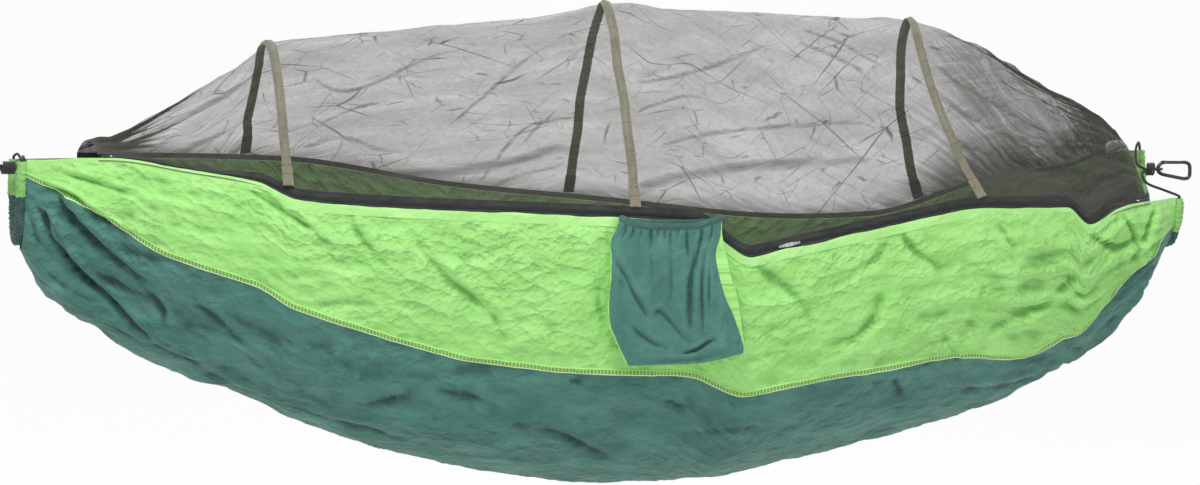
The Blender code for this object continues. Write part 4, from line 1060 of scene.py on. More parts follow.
class Finishes:
    """Every finish on the hammock tent, made once."""

    def __init__(self) -> None:
        """Builds the materials."""
        self.lime = NylonFinish("lime_nylon", (0.43, 0.88, 0.265), (0.335, 0.74, 0.19), (0.13, 0.40, 0.07)).build()
        # Painted shade: a darker copy of the lime for the inside of the hull
        self.lime_painted_shade_inside = NylonFinish("lime_nylon_painted_shade_inside", (0.26, 0.47, 0.17), (0.19, 0.36, 0.12),
                                       (0.08, 0.17, 0.05)).build()
        self.teal = NylonFinish("teal_nylon", (0.088, 0.262, 0.216), (0.052, 0.176, 0.143),
                                (0.010, 0.040, 0.034)).build()
        # Painted shade: a darker copy of the teal for the inside of the hull
        self.teal_painted_shade_inside = NylonFinish("teal_nylon_painted_shade_inside", (0.070, 0.175, 0.145), (0.044, 0.120, 0.100),
                                       (0.012, 0.042, 0.036)).build()
        self.sack = NylonFinish("teal_sack_nylon", (0.084, 0.246, 0.203), (0.052, 0.172, 0.140),
                                (0.018, 0.062, 0.052), depth=0.014).build()
        self.hem = NylonFinish("teal_hem_nylon", (0.060, 0.165, 0.135), (0.038, 0.110, 0.090),
                               (0.015, 0.045, 0.038), depth=0.014).build()
        # Painted highlight: a lighter copy of the lime for the folded hem on the front rim
        self.rim_hem_painted_highlight = NylonFinish("lime_hem_nylon_painted_highlight", (0.50, 0.90, 0.33), (0.40, 0.80, 0.24), (0.15, 0.42, 0.08),
                                   depth=0.012).build()
        self.channel_lime = NylonFinish("lime_channel_nylon", (0.40, 0.72, 0.28), (0.24, 0.54, 0.14),
                                        (0.07, 0.20, 0.04), depth=0.014).build()
        self.channel_teal = NylonFinish("teal_channel_nylon", (0.075, 0.165, 0.145), (0.026, 0.072, 0.062),
                                        (0.008, 0.022, 0.020), depth=0.014).build()
        self.seam = SeamFinish().build()
        self.net = NetFinish().build()
        self.arch_tape = WebbingFinish("khaki_webbing", (0.262, 0.250, 0.186), (0.165, 0.156, 0.110),
                                       (0.37, 0.35, 0.26)).build()
        # Painted light: a much lighter copy of the khaki webbing for the tape's inner faces
        self.tape_painted_light_inside = WebbingFinish("khaki_webbing_painted_light_inside", (0.66, 0.62, 0.47), (0.46, 0.43, 0.31),
                                         (0.78, 0.74, 0.58)).build()
        self.pocket_tape = WebbingFinish("khaki_pocket_webbing", (0.31, 0.29, 0.20), (0.20, 0.185, 0.120),
                                         (0.42, 0.40, 0.28), 0.05).build()
        self.zip_tape = BlackTapeFinish().build()
        self.net_hem = BlackTapeFinish("olive_hem_tape", (0.092, 0.096, 0.076), (0.050, 0.053, 0.042)).build()
        self.coil = CoilFinish().build()
        self.nickel = MetalFinish("nickel_plate", (0.66, 0.66, 0.65), (0.52, 0.52, 0.52), 0.18, 0.34).build()
        self.alloy = MetalFinish("black_anodised_alloy", (0.030, 0.030, 0.034), (0.055, 0.055, 0.060), 0.22, 0.38,
                                 metallic=0.75, coat=0.5).build()
        self.steel = MetalFinish("pin_steel", (0.52, 0.52, 0.53), (0.40, 0.40, 0.41), 0.25, 0.42).build()
        self.spring = MetalFinish("spring_steel", (0.44, 0.44, 0.45), (0.33, 0.33, 0.34), 0.3, 0.5).build()
        self.cord = CordFinish().build()
        self.rod = PlainFibreFinish("glass_fibre_rod", (0.55, 0.55, 0.50), (0.40, 0.40, 0.36), 0.35).build()
        self.elastic = PlainFibreFinish("white_elastic", (0.80, 0.80, 0.77), (0.62, 0.62, 0.59), 0.75,
                                        (500.0, 500.0, 900.0)).build()


class Piece:
    """What each finished piece is told: its shading, its finish, its body and the nodes that it stands for."""

    @staticmethod
    def dress(piece: Object, finish: Material | Sequence[Material], slot: str, body: str, *nodes: str,
              angle: float = 50.0) -> None:
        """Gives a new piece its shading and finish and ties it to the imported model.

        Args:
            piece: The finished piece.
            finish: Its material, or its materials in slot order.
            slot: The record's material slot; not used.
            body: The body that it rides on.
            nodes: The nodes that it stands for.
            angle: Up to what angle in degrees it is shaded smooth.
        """
        Modelling.only(piece)
        bpy.ops.object.shade_smooth_by_angle(angle=math.radians(angle))
        looks = [finish] if isinstance(finish, Material) else list(finish)
        if list(piece.data.materials) != looks:
            piece.data.materials.clear()
            for look in looks:
                piece.data.materials.append(look)
        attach(piece, body)
        if nodes:
            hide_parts(*nodes)
        LOG.info("%s: %d faces, rides on %s", piece.name, len(piece.data.polygons), body)

    @staticmethod
    def dress_node(frame: dict, node: str, finish: Material) -> None:
        """Gives a node of the loaded frame that stays on show its finish."""
        piece = frame["nodes"][node]
        for k in range(len(piece.material_slots)):
            piece.material_slots[k].material = finish
        LOG.info("%s: kept from the frame", node)


@dataclass(frozen=True)
class Picture:
    """Where the photograph's pixels lie on a plane through the middle of the rim."""

    azimuth: float = math.radians(12)
    elevation: float = math.radians(4)
    metres: float = 0.002098
    middle: tuple[float, float] = (601.0, 200.0)

    def of(self, points: np.ndarray) -> np.ndarray:
        """The pixel, across and down, of each point about the middle of the rim."""
        across = points[..., 0] * math.cos(self.azimuth) - points[..., 1] * math.sin(self.azimuth)
        up = points[..., 2] + math.sin(self.elevation) * points[..., 1]
        return np.stack([self.middle[0] + across / self.metres, self.middle[1] - up / self.metres], axis=-1)


@dataclass(frozen=True)
class DragFold:
    """A fold that runs through pixels of the photograph: a groove with a crest beside it."""

    pixels: tuple[tuple[float, float], ...]
    width: float
    depth: float
    start: float = 0.3

    def lift(self, spots: np.ndarray) -> np.ndarray:
        """How far the fold moves the cloth out along its normal at each point's pixel, in metres."""
        route = smooth_route([Vector((*p, 0.0)) for p in self.pixels], 6)
        path = np.array([tuple(p)[:2] for p in route])
        best = np.full(spots.shape[:-1], 1e9)
        beside, along = np.zeros_like(best), np.zeros_like(best)
        for k, (a, b) in enumerate(zip(path, path[1:])):
            way = b - a
            length = float(np.hypot(*way)) or 1e-6
            t = np.clip(((spots - a) @ way) / length ** 2, 0, 1)
            gap = spots - (a + t[..., None] * way)
            away = np.hypot(gap[..., 0], gap[..., 1])
            nearer = away < best
            side = (way[0] * gap[..., 1] - way[1] * gap[..., 0]) / length
            best = np.where(nearer, away, best)
            beside = np.where(nearer, side, beside)
            along = np.where(nearer, (k + t) / (len(path) - 1), along)
        near = best < self.width * 5
        taper = np.clip(along / self.start, 0, 1) ** 0.7 * np.clip((1 - along) / 0.45, 0, 1) ** 0.9
        groove = np.exp(-np.abs(best / self.width) ** 1.5)
        crest = 0.55 * np.exp(-((beside + 1.7 * self.width) / self.width) ** 2)
        return np.where(near, self.depth * taper * (crest - groove), 0.0)


def drag_folds(*rows: tuple) -> tuple[DragFold, ...]:
    """Folds from rows of pixels, width, depth and, where it isn't the usual one, start."""
    return tuple(DragFold(*row) for row in rows)


@dataclass(frozen=True)
class HullCloth:
    """The three sewn panels of the hull, crumpled, with folds that run out from both gathered ends."""

    shape: HammockShape
    thickness: float = 0.0012
    cut_length: float = 2.56
    step: float = 0.0085
    end_step: float = 0.005
    side_rows: int = 40
    centre_rows: int = 84
    rim_free: float = 0.035
    tuck: float = 0.005
    sack_place: float = 0.077
    sack_reach: float = 0.16
    sack_drop: float = 0.33
    folds: tuple[DragFold, ...] = drag_folds(
        (((66, 200), (89, 226), (122, 257), (184, 300)), 4.5, 0.0195, 0.04),
        (((33, 206), (42, 228), (48, 246)), 3.5, 0.015, 0.04),
        (((50, 211), (62, 240), (94, 279), (122, 302), (163, 343), (230, 379)), 4.0, 0.018, 0.04),
        (((190, 360), (281, 402), (357, 425), (420, 440)), 3.5, 0.0108),
        (((45, 208), (60, 222), (80, 257), (96, 282)), 3.0, 0.012, 0.04),
        (((138, 269), (168, 307), (173, 333)), 3.5, 0.0081),
        (((200, 300), (228, 322), (262, 352)), 4.0, 0.0068),
        (((52, 186), (82, 197), (119, 222), (150, 238)), 2.6, 0.0135, 0.04),
        (((60, 170), (99, 183), (140, 196), (170, 212)), 3.5, 0.009, 0.04),
        (((240, 180), (283, 208), (319, 231), (335, 246)), 3.6, 0.0108),
        (((352, 208), (367, 239), (394, 268)), 4.0, 0.0095),
        (((268, 272), (298, 275), (325, 272)), 4.0, 0.0054),
        (((306, 307), (345, 303), (385, 305)), 4.5, 0.0054),
        (((416, 237), (450, 276), (495, 315), (512, 346)), 5.0, 0.0095),
        (((607, 270), (600, 300), (614, 341), (627, 362)), 3.5, 0.0081),
        (((360, 403), (394, 400), (432, 384)), 4.0, 0.0081),
        (((433, 388), (470, 393), (505, 406)), 4.0, 0.0068),
        (((506, 422), (556, 429), (590, 447), (626, 462)), 4.0, 0.0095),
        (((560, 386), (578, 378), (594, 367)), 3.0, 0.0054),
        (((655, 398), (676, 403), (694, 415)), 3.0, 0.0054),
        (((690, 433), (730, 430), (766, 426)), 3.0, 0.0054),
        (((722, 228), (740, 250), (765, 272), (800, 300), (816, 335)), 6.0, 0.0121),
        (((893, 226), (917, 253), (944, 270)), 4.0, 0.0121),
        (((892, 236), (867, 264), (825, 288)), 5.0, 0.0081),
        (((885, 284), (867, 326), (816, 356)), 6.0, 0.0095),
        (((996, 222), (1006, 238), (1016, 252)), 3.5, 0.0081),
        (((1074, 212), (1097, 238), (1122, 246), (1142, 232)), 3.5, 0.0135, 0.04),
        (((1100, 250), (1052, 301), (996, 326), (982, 350)), 4.0, 0.0081),
        (((1125, 215), (1140, 240), (1142, 268)), 3.0, 0.012, 0.04),
        (((1158, 205), (1150, 232), (1136, 262)), 2.8, 0.012, 0.04),
        (((895, 374), (900, 388), (908, 404)), 3.5, 0.0068),
        (((940, 330), (955, 352), (962, 372)), 4.0, 0.0054),
    )

    def places(self) -> list[float]:
        """Places along the length, closer together near the ends."""
        end = self.shape.panel_end() + self.tuck
        near = end - 0.16
        outer = np.linspace(near, end, round((end - near) / self.end_step) + 1)
        inner = np.linspace(-near, near, round(2 * near / self.step) + 1)
        return [*(-outer[::-1]), *inner[1:-1], *outer]

    def crinkle(self, x: float, share: float, across: float) -> float:
        """The cloth's own crumple, in metres out from the smooth form.

        Args:
            x: The place along the length.
            share: The way round from the front rim to the rear one, from 0 to 1.
            across: The same way in metres.

        Returns:
            The move outwards.
        """
        end = ease((abs(x) - 0.45) / 0.72)
        drift = wave(x * 2.2, share * 4.0, 7.0)
        runs = ridged(x * 1.5, share * 17 + drift * 1.6, 3.0, 1.6) - 0.42
        fine_runs = ridged(x * 4.0, share * 34 + drift * 3.0, 9.0, 1.3) - 0.45
        broad = wave(x * 3.2, across * 5.0, 21.0)
        facets = crumple(x * 11.0, across * 19.0, 4.0)
        small = crumple(x * 27.0, across * 38.0, 14.0)
        return (runs * (0.0010 + 0.0130 * end) + fine_runs * (0.0010 + 0.0050 * end) + broad * 0.0050
                + facets * 0.0048 + small * 0.0030)

    def lifts(self, grid: PointGrid, places: Sequence[float]) -> np.ndarray:
        """How far each point moves out: crumple, folds from the photograph, and calm strips along what is sewn on.

        Args:
            grid: The smooth hull.
            places: The place along the length of each column.

        Returns:
            The move outwards at each point.
        """
        lift = np.array([[self.crinkle(x, way / ways[-1], way) for way in ways]
                         for x, ways in zip(places, grid.across)])
        front = grid.points[:, :, 1] < 0
        # The folds on the rear are those of the front, seen with the hull turned round
        spots, rear_spots = (Picture().of(points) for points in (
            grid.points, grid.points * np.array([1.0, -1.0, 1.0]) + np.array([0.03, 0.0, 0.0])))
        for fold in self.folds:
            lift += np.where(front, fold.lift(spots), fold.lift(rear_spots))
        from_rim = np.minimum(grid.across, grid.across[:, -1:] - grid.across)
        lift *= np.clip(from_rim / self.rim_free, 0, 1) ** 1.2
        to_end = (self.shape.panel_end() - np.abs(np.array(places)))[:, None]
        lift *= 0.12 + 0.88 * np.clip(to_end / 0.05, 0, 1)
        beside = np.clip((self.sack_reach - np.abs(np.array(places) - self.sack_place)) / 0.03, 0, 1)[:, None]
        below = np.clip((self.sack_drop - grid.across) / 0.05, 0, 1)
        covered = beside * below
        return lift * (1 - 0.75 * covered) - 0.0022 * covered * np.clip(from_rim / self.rim_free, 0, 1)

    def build(self, finishes: Finishes) -> None:
        """Makes the three panels and the two lapped seams between them."""
        shape = self.shape
        places = self.places()
        columns = []
        for x in places:
            section = Section.at(shape, x)
            seam, rear = section.seams
            angles = [seam * k / self.side_rows for k in range(self.side_rows)]
            angles += [seam + (math.pi - seam - rear) * k / self.centre_rows for k in range(self.centre_rows)]
            angles += [math.pi - rear + rear * k / self.side_rows for k in range(self.side_rows + 1)]
            columns.append([section.point(a) for a in angles])
        grid = PointGrid.of(columns)
        lift = self.lifts(grid, places)
        placed = grid.moved(lift)
        # Painted shade: marks each point by how far it lies below its blurred neighbours, and the nylon darkens those
        # hollows
        marks = np.clip((blurred(lift, 4) - lift - 0.0009) / 0.0048, 0, 1)
        normals = PointGrid.of([[Vector(p) for p in column] for column in placed]).normals
        chart = np.stack([np.broadcast_to(np.array(places)[:, None], grid.across.shape), grid.across], axis=-1)
        last = placed.shape[1] - 1
        near, far = self.side_rows, last - self.side_rows
        # Each panel's second material is the darker painted-shade copy of its cloth
        lime, teal = (finishes.lime_painted_shade_inside, finishes.lime), (finishes.teal_painted_shade_inside, finishes.teal)
        for name, first, end, looks, slot in (("front", 0, near, lime, "lime_nylon"),
                                              ("centre", near, far, teal, "teal_nylon"),
                                              ("rear", far, last, lime, "lime_nylon")):
            rows = slice(first, end + 1)
            piece = Modelling.sheet(f"cloth_{name}", placed[:, rows], chart[:, rows], marks[:, rows])
            for look in looks:
                piece.data.materials.append(look)
            Modelling.thicken(piece, self.thickness, painted_shade_side=True)
            Piece.dress(piece, looks, slot, "hammock", f"hull_{name}_panel", angle=80)
        SeamTape(self.thickness).build("seam_front", placed, normals, near, -1, finishes)
        SeamTape(self.thickness).build("seam_rear", placed, normals, far, 1, finishes)


@dataclass(frozen=True)
class SeamTape:
    """A lapped seam: the lime allowance turned over and stitched down along the teal panel's edge."""

    cloth: float
    width: float = 0.014
    height: float = 0.0011
    overlap: float = 0.004

    def build(self, name: str, placed: np.ndarray, normals: np.ndarray, row: int, lime_way: int,
              finishes: Finishes) -> None:
        """Lays the seam along one row of the hull.

        Args:
            name: The piece's name.
            placed: The hull's points by column and row.
            normals: Its outward normals.
            row: The row that the seam follows.
            lime_way: The way, in rows, in which the lime panel lies.
            finishes: The finishes.
        """
        profile = ((0.0, 0.0), (0.01, 0.7), (0.06, 1.0), (0.30, 0.75), (0.52, 1.0), (0.74, 0.75), (0.93, 1.25),
                   (0.99, 0.9), (1.0, 0.0))
        rings, chart, along = [], [], 0.0
        for i in range(placed.shape[0]):
            line = [Vector(placed[i, row + lime_way * k]) for k in range(9)]
            back = Vector(placed[i, row - lime_way])
            lengths = ways_along(line)
            if i:
                along += float(np.linalg.norm(placed[i, row] - placed[i - 1, row]))
            normal = Vector(normals[i, row])
            wide = min(self.width, lengths[-1] + self.overlap)
            pucker = 1.0 + 0.35 * wave(along * 90.0, row, 2.0)
            ring = []
            for share, rise in profile:
                reach = wide * (1.0 - share) - self.overlap
                if reach <= 0:
                    place = line[0] + (back - line[0]).normalized() * -reach
                else:
                    k = next((k for k in range(len(lengths) - 1) if reach <= lengths[k + 1]), len(lengths) - 2)
                    t = (reach - lengths[k]) / max(lengths[k + 1] - lengths[k], 1e-6)
                    place = line[k].lerp(line[k + 1], min(t, 1.0))
                lift = self.cloth / 2 + self.height * rise * pucker - (0.0004 if rise == 0 else 0)
                ring.append(place + normal * lift)
            rings.append(ring)
            chart.append([(along, share * self.width) for share, _ in profile])
        piece = Modelling.sheet(name, as_array(rings), np.array(chart))
        Modelling.thicken(piece, 0.0004)
        Piece.dress(piece, finishes.seam, "lime_nylon", "hammock", angle=60)


@dataclass(frozen=True)
class MosquitoNet:
    """The net: one sheer sheet over the three arches, with slack creases between them and bunched edges."""

    shape: HammockShape
    thickness: float = 0.0005
    step: float = 0.0074
    rows: int = 148
    edge_free: float = 0.03
    arch_free: float = 0.035
    bunch_reach: float = 0.075
    crease_mark: float = 0.9
    creases: tuple[DragFold, ...] = drag_folds(
        (((445, 131), (482, 98), (521, 63), (577, 25)), 2.4, 0.004, 0.1),
        (((474, 193), (509, 145), (533, 125), (579, 117), (604, 112)), 2.4, 0.004, 0.1),
        (((521, 146), (542, 123), (566, 102)), 2.2, 0.003, 0.1),
        (((300, 172), (370, 176), (445, 172), (513, 162), (554, 150), (581, 158), (626, 189)), 7, 0.006, 0.1),
        (((632, 189), (669, 178), (750, 166), (850, 160), (900, 168)), 7.5, 0.005, 0.1),
        (((626, 84), (678, 75), (737, 56), (797, 28)), 3.2, 0.005, 0.1),
        (((632, 115), (649, 106), (684, 96), (704, 96), (733, 73)), 2.2, 0.003, 0.1),
        (((650, 148), (713, 133), (824, 124), (867, 126), (902, 152)), 3.0, 0.005, 0.1),
        (((461, 209), (509, 180), (554, 168), (571, 158)), 3.0, 0.004, 0.1),
        (((793, 41), (850, 65), (902, 113)), 2.4, 0.004, 0.1),
        (((797, 28), (850, 48), (905, 84)), 2.2, 0.004, 0.1),
        (((310, 78), (350, 92), (420, 62), (470, 40)), 2.4, 0.004, 0.1),
        (((302, 150), (345, 138), (390, 152), (440, 148)), 3.2, 0.004, 0.1),
        (((318, 128), (360, 108), (430, 96)), 2.2, 0.004, 0.1),
        (((930, 60), (980, 96), (1050, 130), (1110, 150)), 3.4, 0.006, 0.1),
        (((940, 100), (1000, 132), (1070, 158), (1130, 166)), 3.4, 0.007, 0.1),
        (((950, 140), (1010, 160), (1080, 176), (1140, 178)), 4.0, 0.008, 0.1),
        (((120, 150), (190, 118), (236, 92), (270, 66)), 4.0, 0.005, 0.1),
        (((150, 160), (210, 140), (262, 116)), 4.0, 0.006, 0.1),
        (((205, 178), (240, 150), (262, 132)), 2.4, 0.004, 0.1),
    )

    def slack(self, x: float, across: float, share: float) -> float:
        """The net's creases, in metres out from the smooth form.

        Args:
            x: The place along the length.
            across: The way over from the zip, in metres.
            share: The same way from -1 to 1.

        Returns:
            The move outwards.
        """
        drift = wave(x * 2.4, across * 3.0, 31.0)
        long_runs = ridged(x * 2.2 + drift, across * 11.0 + drift * 1.4, 33.0, 2.2) - 0.35
        short_runs = ridged(x * 7.0, across * 17.0 + drift * 2.0, 37.0, 1.8) - 0.38
        broad = wave(x * 3.0, across * 4.0, 41.0)
        ends = ease((abs(x + 0.02) - 0.72) / 0.3)
        runs = ridged(x * 1.6, share * 11.0 + drift, 43.0, 1.5) - 0.42
        return long_runs * 0.0055 + short_runs * 0.0026 + broad * 0.0045 + runs * 0.012 * ends

    def bunching(self, x: float, from_front: float, from_rear: float) -> float:
        """How densely the net is bunched along both sewn edges and at its ends.

        Args:
            x: The place along the length.
            from_front: The way from the zip, in metres.
            from_rear: The way from the rear hem, in metres.

        Returns:
            How dark the mesh is there, where 1 is fully bunched.
        """
        wander = 1 + 0.35 * wave(x * 9.0, 3.0, 51.0)
        right, left = ease((x - 0.60) / 0.32), ease((-0.7 - x) / 0.34)
        reach = self.bunch_reach * (1 + 0.9 * right) * wander
        front = max(0.0, 1 - from_front / reach) ** 0.9
        rear = 0.85 * max(0.0, 1 - from_rear / (reach * 0.9)) ** 1.1
        patch = 0.5 + 0.5 * wave(x * 6.0, from_front * 7.0, 57.0)
        low, high = self.shape.net_ends()
        end = 1 - ease(min(x - low, high - x) / 0.14)
        return min(1.45, front * (0.75 + 0.25 * right) + rear + right * (0.50 + 0.4 * patch) + 0.3 * left * patch + end)

    def build(self, finishes: Finishes) -> None:
        """Makes the net sheet."""
        shape = self.shape
        low, high = shape.net_ends()
        places = np.linspace(low, high, round((high - low) / self.step) + 1)
        ways = [2 * k / self.rows - 1 for k in range(self.rows + 1)]
        ways = [math.copysign(abs(t) ** 0.85, t) for t in ways]
        grid = PointGrid.of([[shape.net_point(float(x), t) for t in ways] for x in places], turned=True)
        lift, marks = np.zeros(grid.across.shape), np.zeros(grid.across.shape)
        girth = grid.across[:, -1]
        for i, x in enumerate(places):
            for j, t in enumerate(ways):
                from_front = grid.across[i, j]
                lift[i, j] = self.slack(float(x), from_front, t)
                marks[i, j] = self.bunching(float(x), from_front, girth[i] - from_front)
        spots = Picture().of(grid.points)
        for crease in self.creases:
            move = np.where(grid.points[:, :, 1] < 0, crease.lift(spots), 0.0)
            lift += move
            marks = np.maximum(marks, np.clip(-1.3 * move / crease.depth, 0, 1) * self.crease_mark)
        from_edge = np.minimum(grid.across, grid.across[:, -1:] - grid.across)
        lift *= np.clip(from_edge / self.edge_free, 0, 1)
        arches = np.array([[shape.net_point(x, t).x for x in shape.arch_places()] for t in ways])
        shift = np.abs(grid.points[:, :, 0][:, :, None] - arches[None]).min(axis=2)
        under = 1 - np.clip((shift - 0.012) / self.arch_free, 0, 1)
        lift = lift * (1 - under) - 0.0003 * under
        lift *= np.clip(np.minimum(places - low, high - places) / 0.03, 0, 1)[:, None]
        chart = np.stack([grid.points[:, :, 0], grid.across], axis=-1)
        placed = grid.moved(lift)
        tall = shape.zip_height()
        for i, x in enumerate(places):
            tilt = shape.zip_tilt(float(x))
            lean = np.array([0.0, tall * math.sin(tilt), -tall * (1 - math.cos(tilt))])
            placed[i] += lean * np.clip(-np.array(ways), 0, 1)[:, None] ** 3
        piece = Modelling.sheet("net_sheet", placed, chart, marks)
        Modelling.thicken(piece, self.thickness)
        Piece.dress(piece, finishes.net, "net_mesh", "hammock", "mosquito_net", angle=80)
        area = float(np.trapz(girth, places)) * 1.06


@dataclass(frozen=True)
class TapeFrame:
    """A place on an arch with its way across the tape and its way out from the net."""

    place: Vector
    width: Vector
    outwards: Vector

    def ring(self, outline: Outline, lift: float, shift: float = 0.0, scale: float = 1.0) -> list[Vector]:
        """An outline of (sideways, outwards) points here, lifted off the net, shifted sideways and scaled."""
        return [self.place + self.width * (a * scale + shift) + self.outwards * (b + lift) for a, b in outline]


@dataclass(frozen=True)
class Arch:
    """One arch over the net: the webbing tunnel, the bent rod in it and a pocket for each rod end."""

    shape: HammockShape
    name: str
    x: float
    steps: int = 150
    tape_width: float = 0.020
    pocket_width: float = 0.023
    pocket_length: float = 0.046
    pocket_floor: float = 0.002
    rod_radius: float = 0.002
    wall: float = 0.0009
    edge: float = 0.0011
    lift: float = 0.0009
    stitch_space: float = 0.034
    sides: int = 16

    def frames(self) -> tuple[list[TapeFrame], list[float]]:
        """Places over the net from the front foot to the rear foot, and the way to each in metres."""
        ways = [math.copysign(abs(t) ** 0.8, t) for t in (2 * k / self.steps - 1 for k in range(self.steps + 1))]
        places = [self.shape.net_point(self.x, t) for t in ways]
        reach = self.tape_width / 2
        sides = [self.shape.net_point(self.x + reach, t) - self.shape.net_point(self.x - reach, t) for t in ways]
        frames = []
        for k, place in enumerate(places):
            before, after = places[max(k - 1, 0)], places[min(k + 1, self.steps)]
            tangent = (after - before).normalized()
            width = (sides[k] - tangent * sides[k].dot(tangent)).normalized()
            frames.append(TapeFrame(place, width, tangent.cross(width) * -1))
        return frames, ways_along(places)

    def tunnel(self, width: float, flat: float = 0.0) -> tuple[Outline, Outline]:
        """A tunnel's outer and inner outlines, point against point.

        Args:
            width: The webbing's width.
            flat: From 0, fully raised over the rod, to 1, pulled down where it is stitched.

        Returns:
            The outer and the inner outline.
        """
        bore = self.rod_radius + 0.0004
        middle = self.wall + bore
        outer, inner = [], []
        for turn in turns_round(self.sides):
            side, over = math.cos(turn - math.pi / 2), math.sin(turn - math.pi / 2)
            inner.append((bore * side, middle + bore * over))
            if over < 0:
                outer.append((width / 2 * math.copysign(min(1.0, abs(side) * 1.08), side), 0.0))
            else:
                reach = width / 2 * side
                crown = math.exp(-(reach / (0.0052 + 0.0012 * flat)) ** 2)
                top = self.edge + (2 * bore + 2 * self.wall - self.edge) * crown * (1 - 0.06 * flat)
                outer.append((reach, top))
        return outer, inner

    def wander(self, way: float, whole: float) -> float:
        """How far the tape and its rod stray sideways, in metres: most in the rear leg, and nowhere at the feet."""
        rear = ease((way / whole - 0.48) * 4)
        foot = ease((min(way, whole - way) - self.pocket_length) / 0.05)
        stretch = way / 0.085 + self.x * 3
        zigzag = wave(math.floor(stretch) * 5.3 + 0.5, self.x * 7, 1.0)
        ahead = wave(math.floor(stretch + 1) * 5.3 + 0.5, self.x * 7, 1.0)
        kink = zigzag + (ahead - zigzag) * (stretch % 1.0)
        return kink * foot * (0.0068 + 0.0062 * rear)

    def build_tape(self, frames: Sequence[TapeFrame], lengths: Sequence[float], finishes: Finishes) -> None:
        """Makes the webbing tunnel, drawn in at each row of stitches, from one pocket's top to the other's."""
        whole = lengths[-1]
        first, last = self.pocket_length + self.shape.gap, whole - self.pocket_length - self.shape.gap
        outer, inner = [], []
        for way in np.linspace(first, last, self.steps):
            frame = self.between(frames, lengths, float(way))
            phase = abs((way / self.stitch_space) % 1.0 - 0.5) * 2
            drawn = max(0.0, (phase - 0.78) / 0.22)
            shape_out, shape_in = self.tunnel(self.tape_width, drawn)
            scale = 1 - 0.09 * drawn + 0.03 * wave(way * 40, self.x, 5.0)
            stray = self.wander(float(way), whole)
            outer.append(frame.ring(shape_out, self.lift, stray, scale))
            inner.append(frame.ring(shape_in, self.lift, stray))
        piece = Modelling.loft(f"rod_tape_{self.name}", outer + inner[::-1], wrap=True)
        Piece.dress(piece, (finishes.arch_tape, finishes.tape_painted_light_inside), "khaki_webbing", "hammock",
                    f"arch_tape_{self.name}")
        # Painted light: faces that look in towards the ridge take the lighter copy of the webbing
        ridge = Vector((self.x, 0.0, self.shape.rim_lift)) + ORIGIN
        for polygon in piece.data.polygons:
            away = polygon.center - ridge
            away.x = 0.0
            polygon.material_index = int(polygon.normal.dot(away.normalized()) < -0.6)

    def build_rod(self, frames: Sequence[TapeFrame], lengths: Sequence[float], finishes: Finishes) -> None:
        """Makes the bent rod, with rounded tips, from one pocket's floor to the other's."""
        middle = self.lift + self.wall + self.rod_radius + 0.0004
        inset = self.pocket_floor + 0.0006
        route = []
        for way in np.linspace(inset, lengths[-1] - inset, self.steps):
            frame = self.between(frames, lengths, float(way))
            stray = self.wander(float(way), lengths[-1])
            route.append(frame.place + frame.outwards * middle + frame.width * stray)
        radii = [self.rod_radius] * len(route)
        first, last = route[0] - route[1], route[-1] - route[-2]
        tip = 0.0004
        route = [route[0] + first.normalized() * tip, *route, route[-1] + last.normalized() * tip]
        radii = [self.rod_radius * 0.7, *radii, self.rod_radius * 0.7]
        piece = Modelling.loft(f"bent_rod_{self.name}", rings_along(route, radii, 12, X_WAY))
        Piece.dress(piece, finishes.rod, "rod_fibre", "hammock", f"arch_rod_{self.name}", angle=40)

    def build_pocket(self, side: str, frames: Sequence[TapeFrame], lengths: Sequence[float],
                     finishes: Finishes) -> None:
        """Makes the short webbing pocket at the front or rear foot, where frames and lengths begin."""
        stops = (0.0006, 0.0016, 0.004, 0.012, 0.022, 0.032, 0.040, self.pocket_length - 0.0018,
                 self.pocket_length - 0.0006)
        shape_out, shape_in = self.tunnel(self.pocket_width)
        outer, inner = [], []
        for way in stops:
            frame = self.between(frames, lengths, way)
            tight, low = (0.93, 0.75) if way < 0.001 else (1.0, 1.0)
            swell = 1.0 + 0.012 * math.sin(way * 300)
            outer.append(frame.ring([(a * tight * swell, b * low) for a, b in shape_out], self.lift - 0.0002))
            if way >= 0.0016:
                inner.append(frame.ring(shape_in, self.lift))
        inner[0] = self.between(frames, lengths, self.pocket_floor).ring(shape_in, self.lift)
        floor, foot = sum(inner[0], Vector()) / self.sides, sum(outer[0], Vector()) / self.sides
        rings = [[foot.lerp(p, 0.02) for p in outer[0]], *outer, *inner[::-1],
                 [floor.lerp(p, 0.02) for p in inner[0]]]
        piece = Modelling.loft(f"pocket_{self.name}_{side}", rings)
        Piece.dress(piece, finishes.pocket_tape, "khaki_webbing", "hammock", f"rod_pocket_{self.name}_{side}")

    @staticmethod
    def between(frames: Sequence[TapeFrame], lengths: Sequence[float], way: float) -> TapeFrame:
        """The frame at a way from the first one, between its neighbours."""
        k = next(k for k in range(len(lengths) - 1) if way <= lengths[k + 1])
        t = (way - lengths[k]) / (lengths[k + 1] - lengths[k])
        a, b = frames[k], frames[k + 1]
        return TapeFrame(a.place.lerp(b.place, t), a.width.lerp(b.width, t).normalized(),
                         a.outwards.lerp(b.outwards, t).normalized())

    def build(self, finishes: Finishes) -> None:
        """Makes the arch's tape, rod and two pockets."""
        frames, lengths = self.frames()
        self.build_tape(frames, lengths, finishes)
        self.build_rod(frames, lengths, finishes)
        self.build_pocket("front", frames, lengths, finishes)
        back = [lengths[-1] - way for way in reversed(lengths)]
        self.build_pocket("rear", list(reversed(frames)), back, finishes)


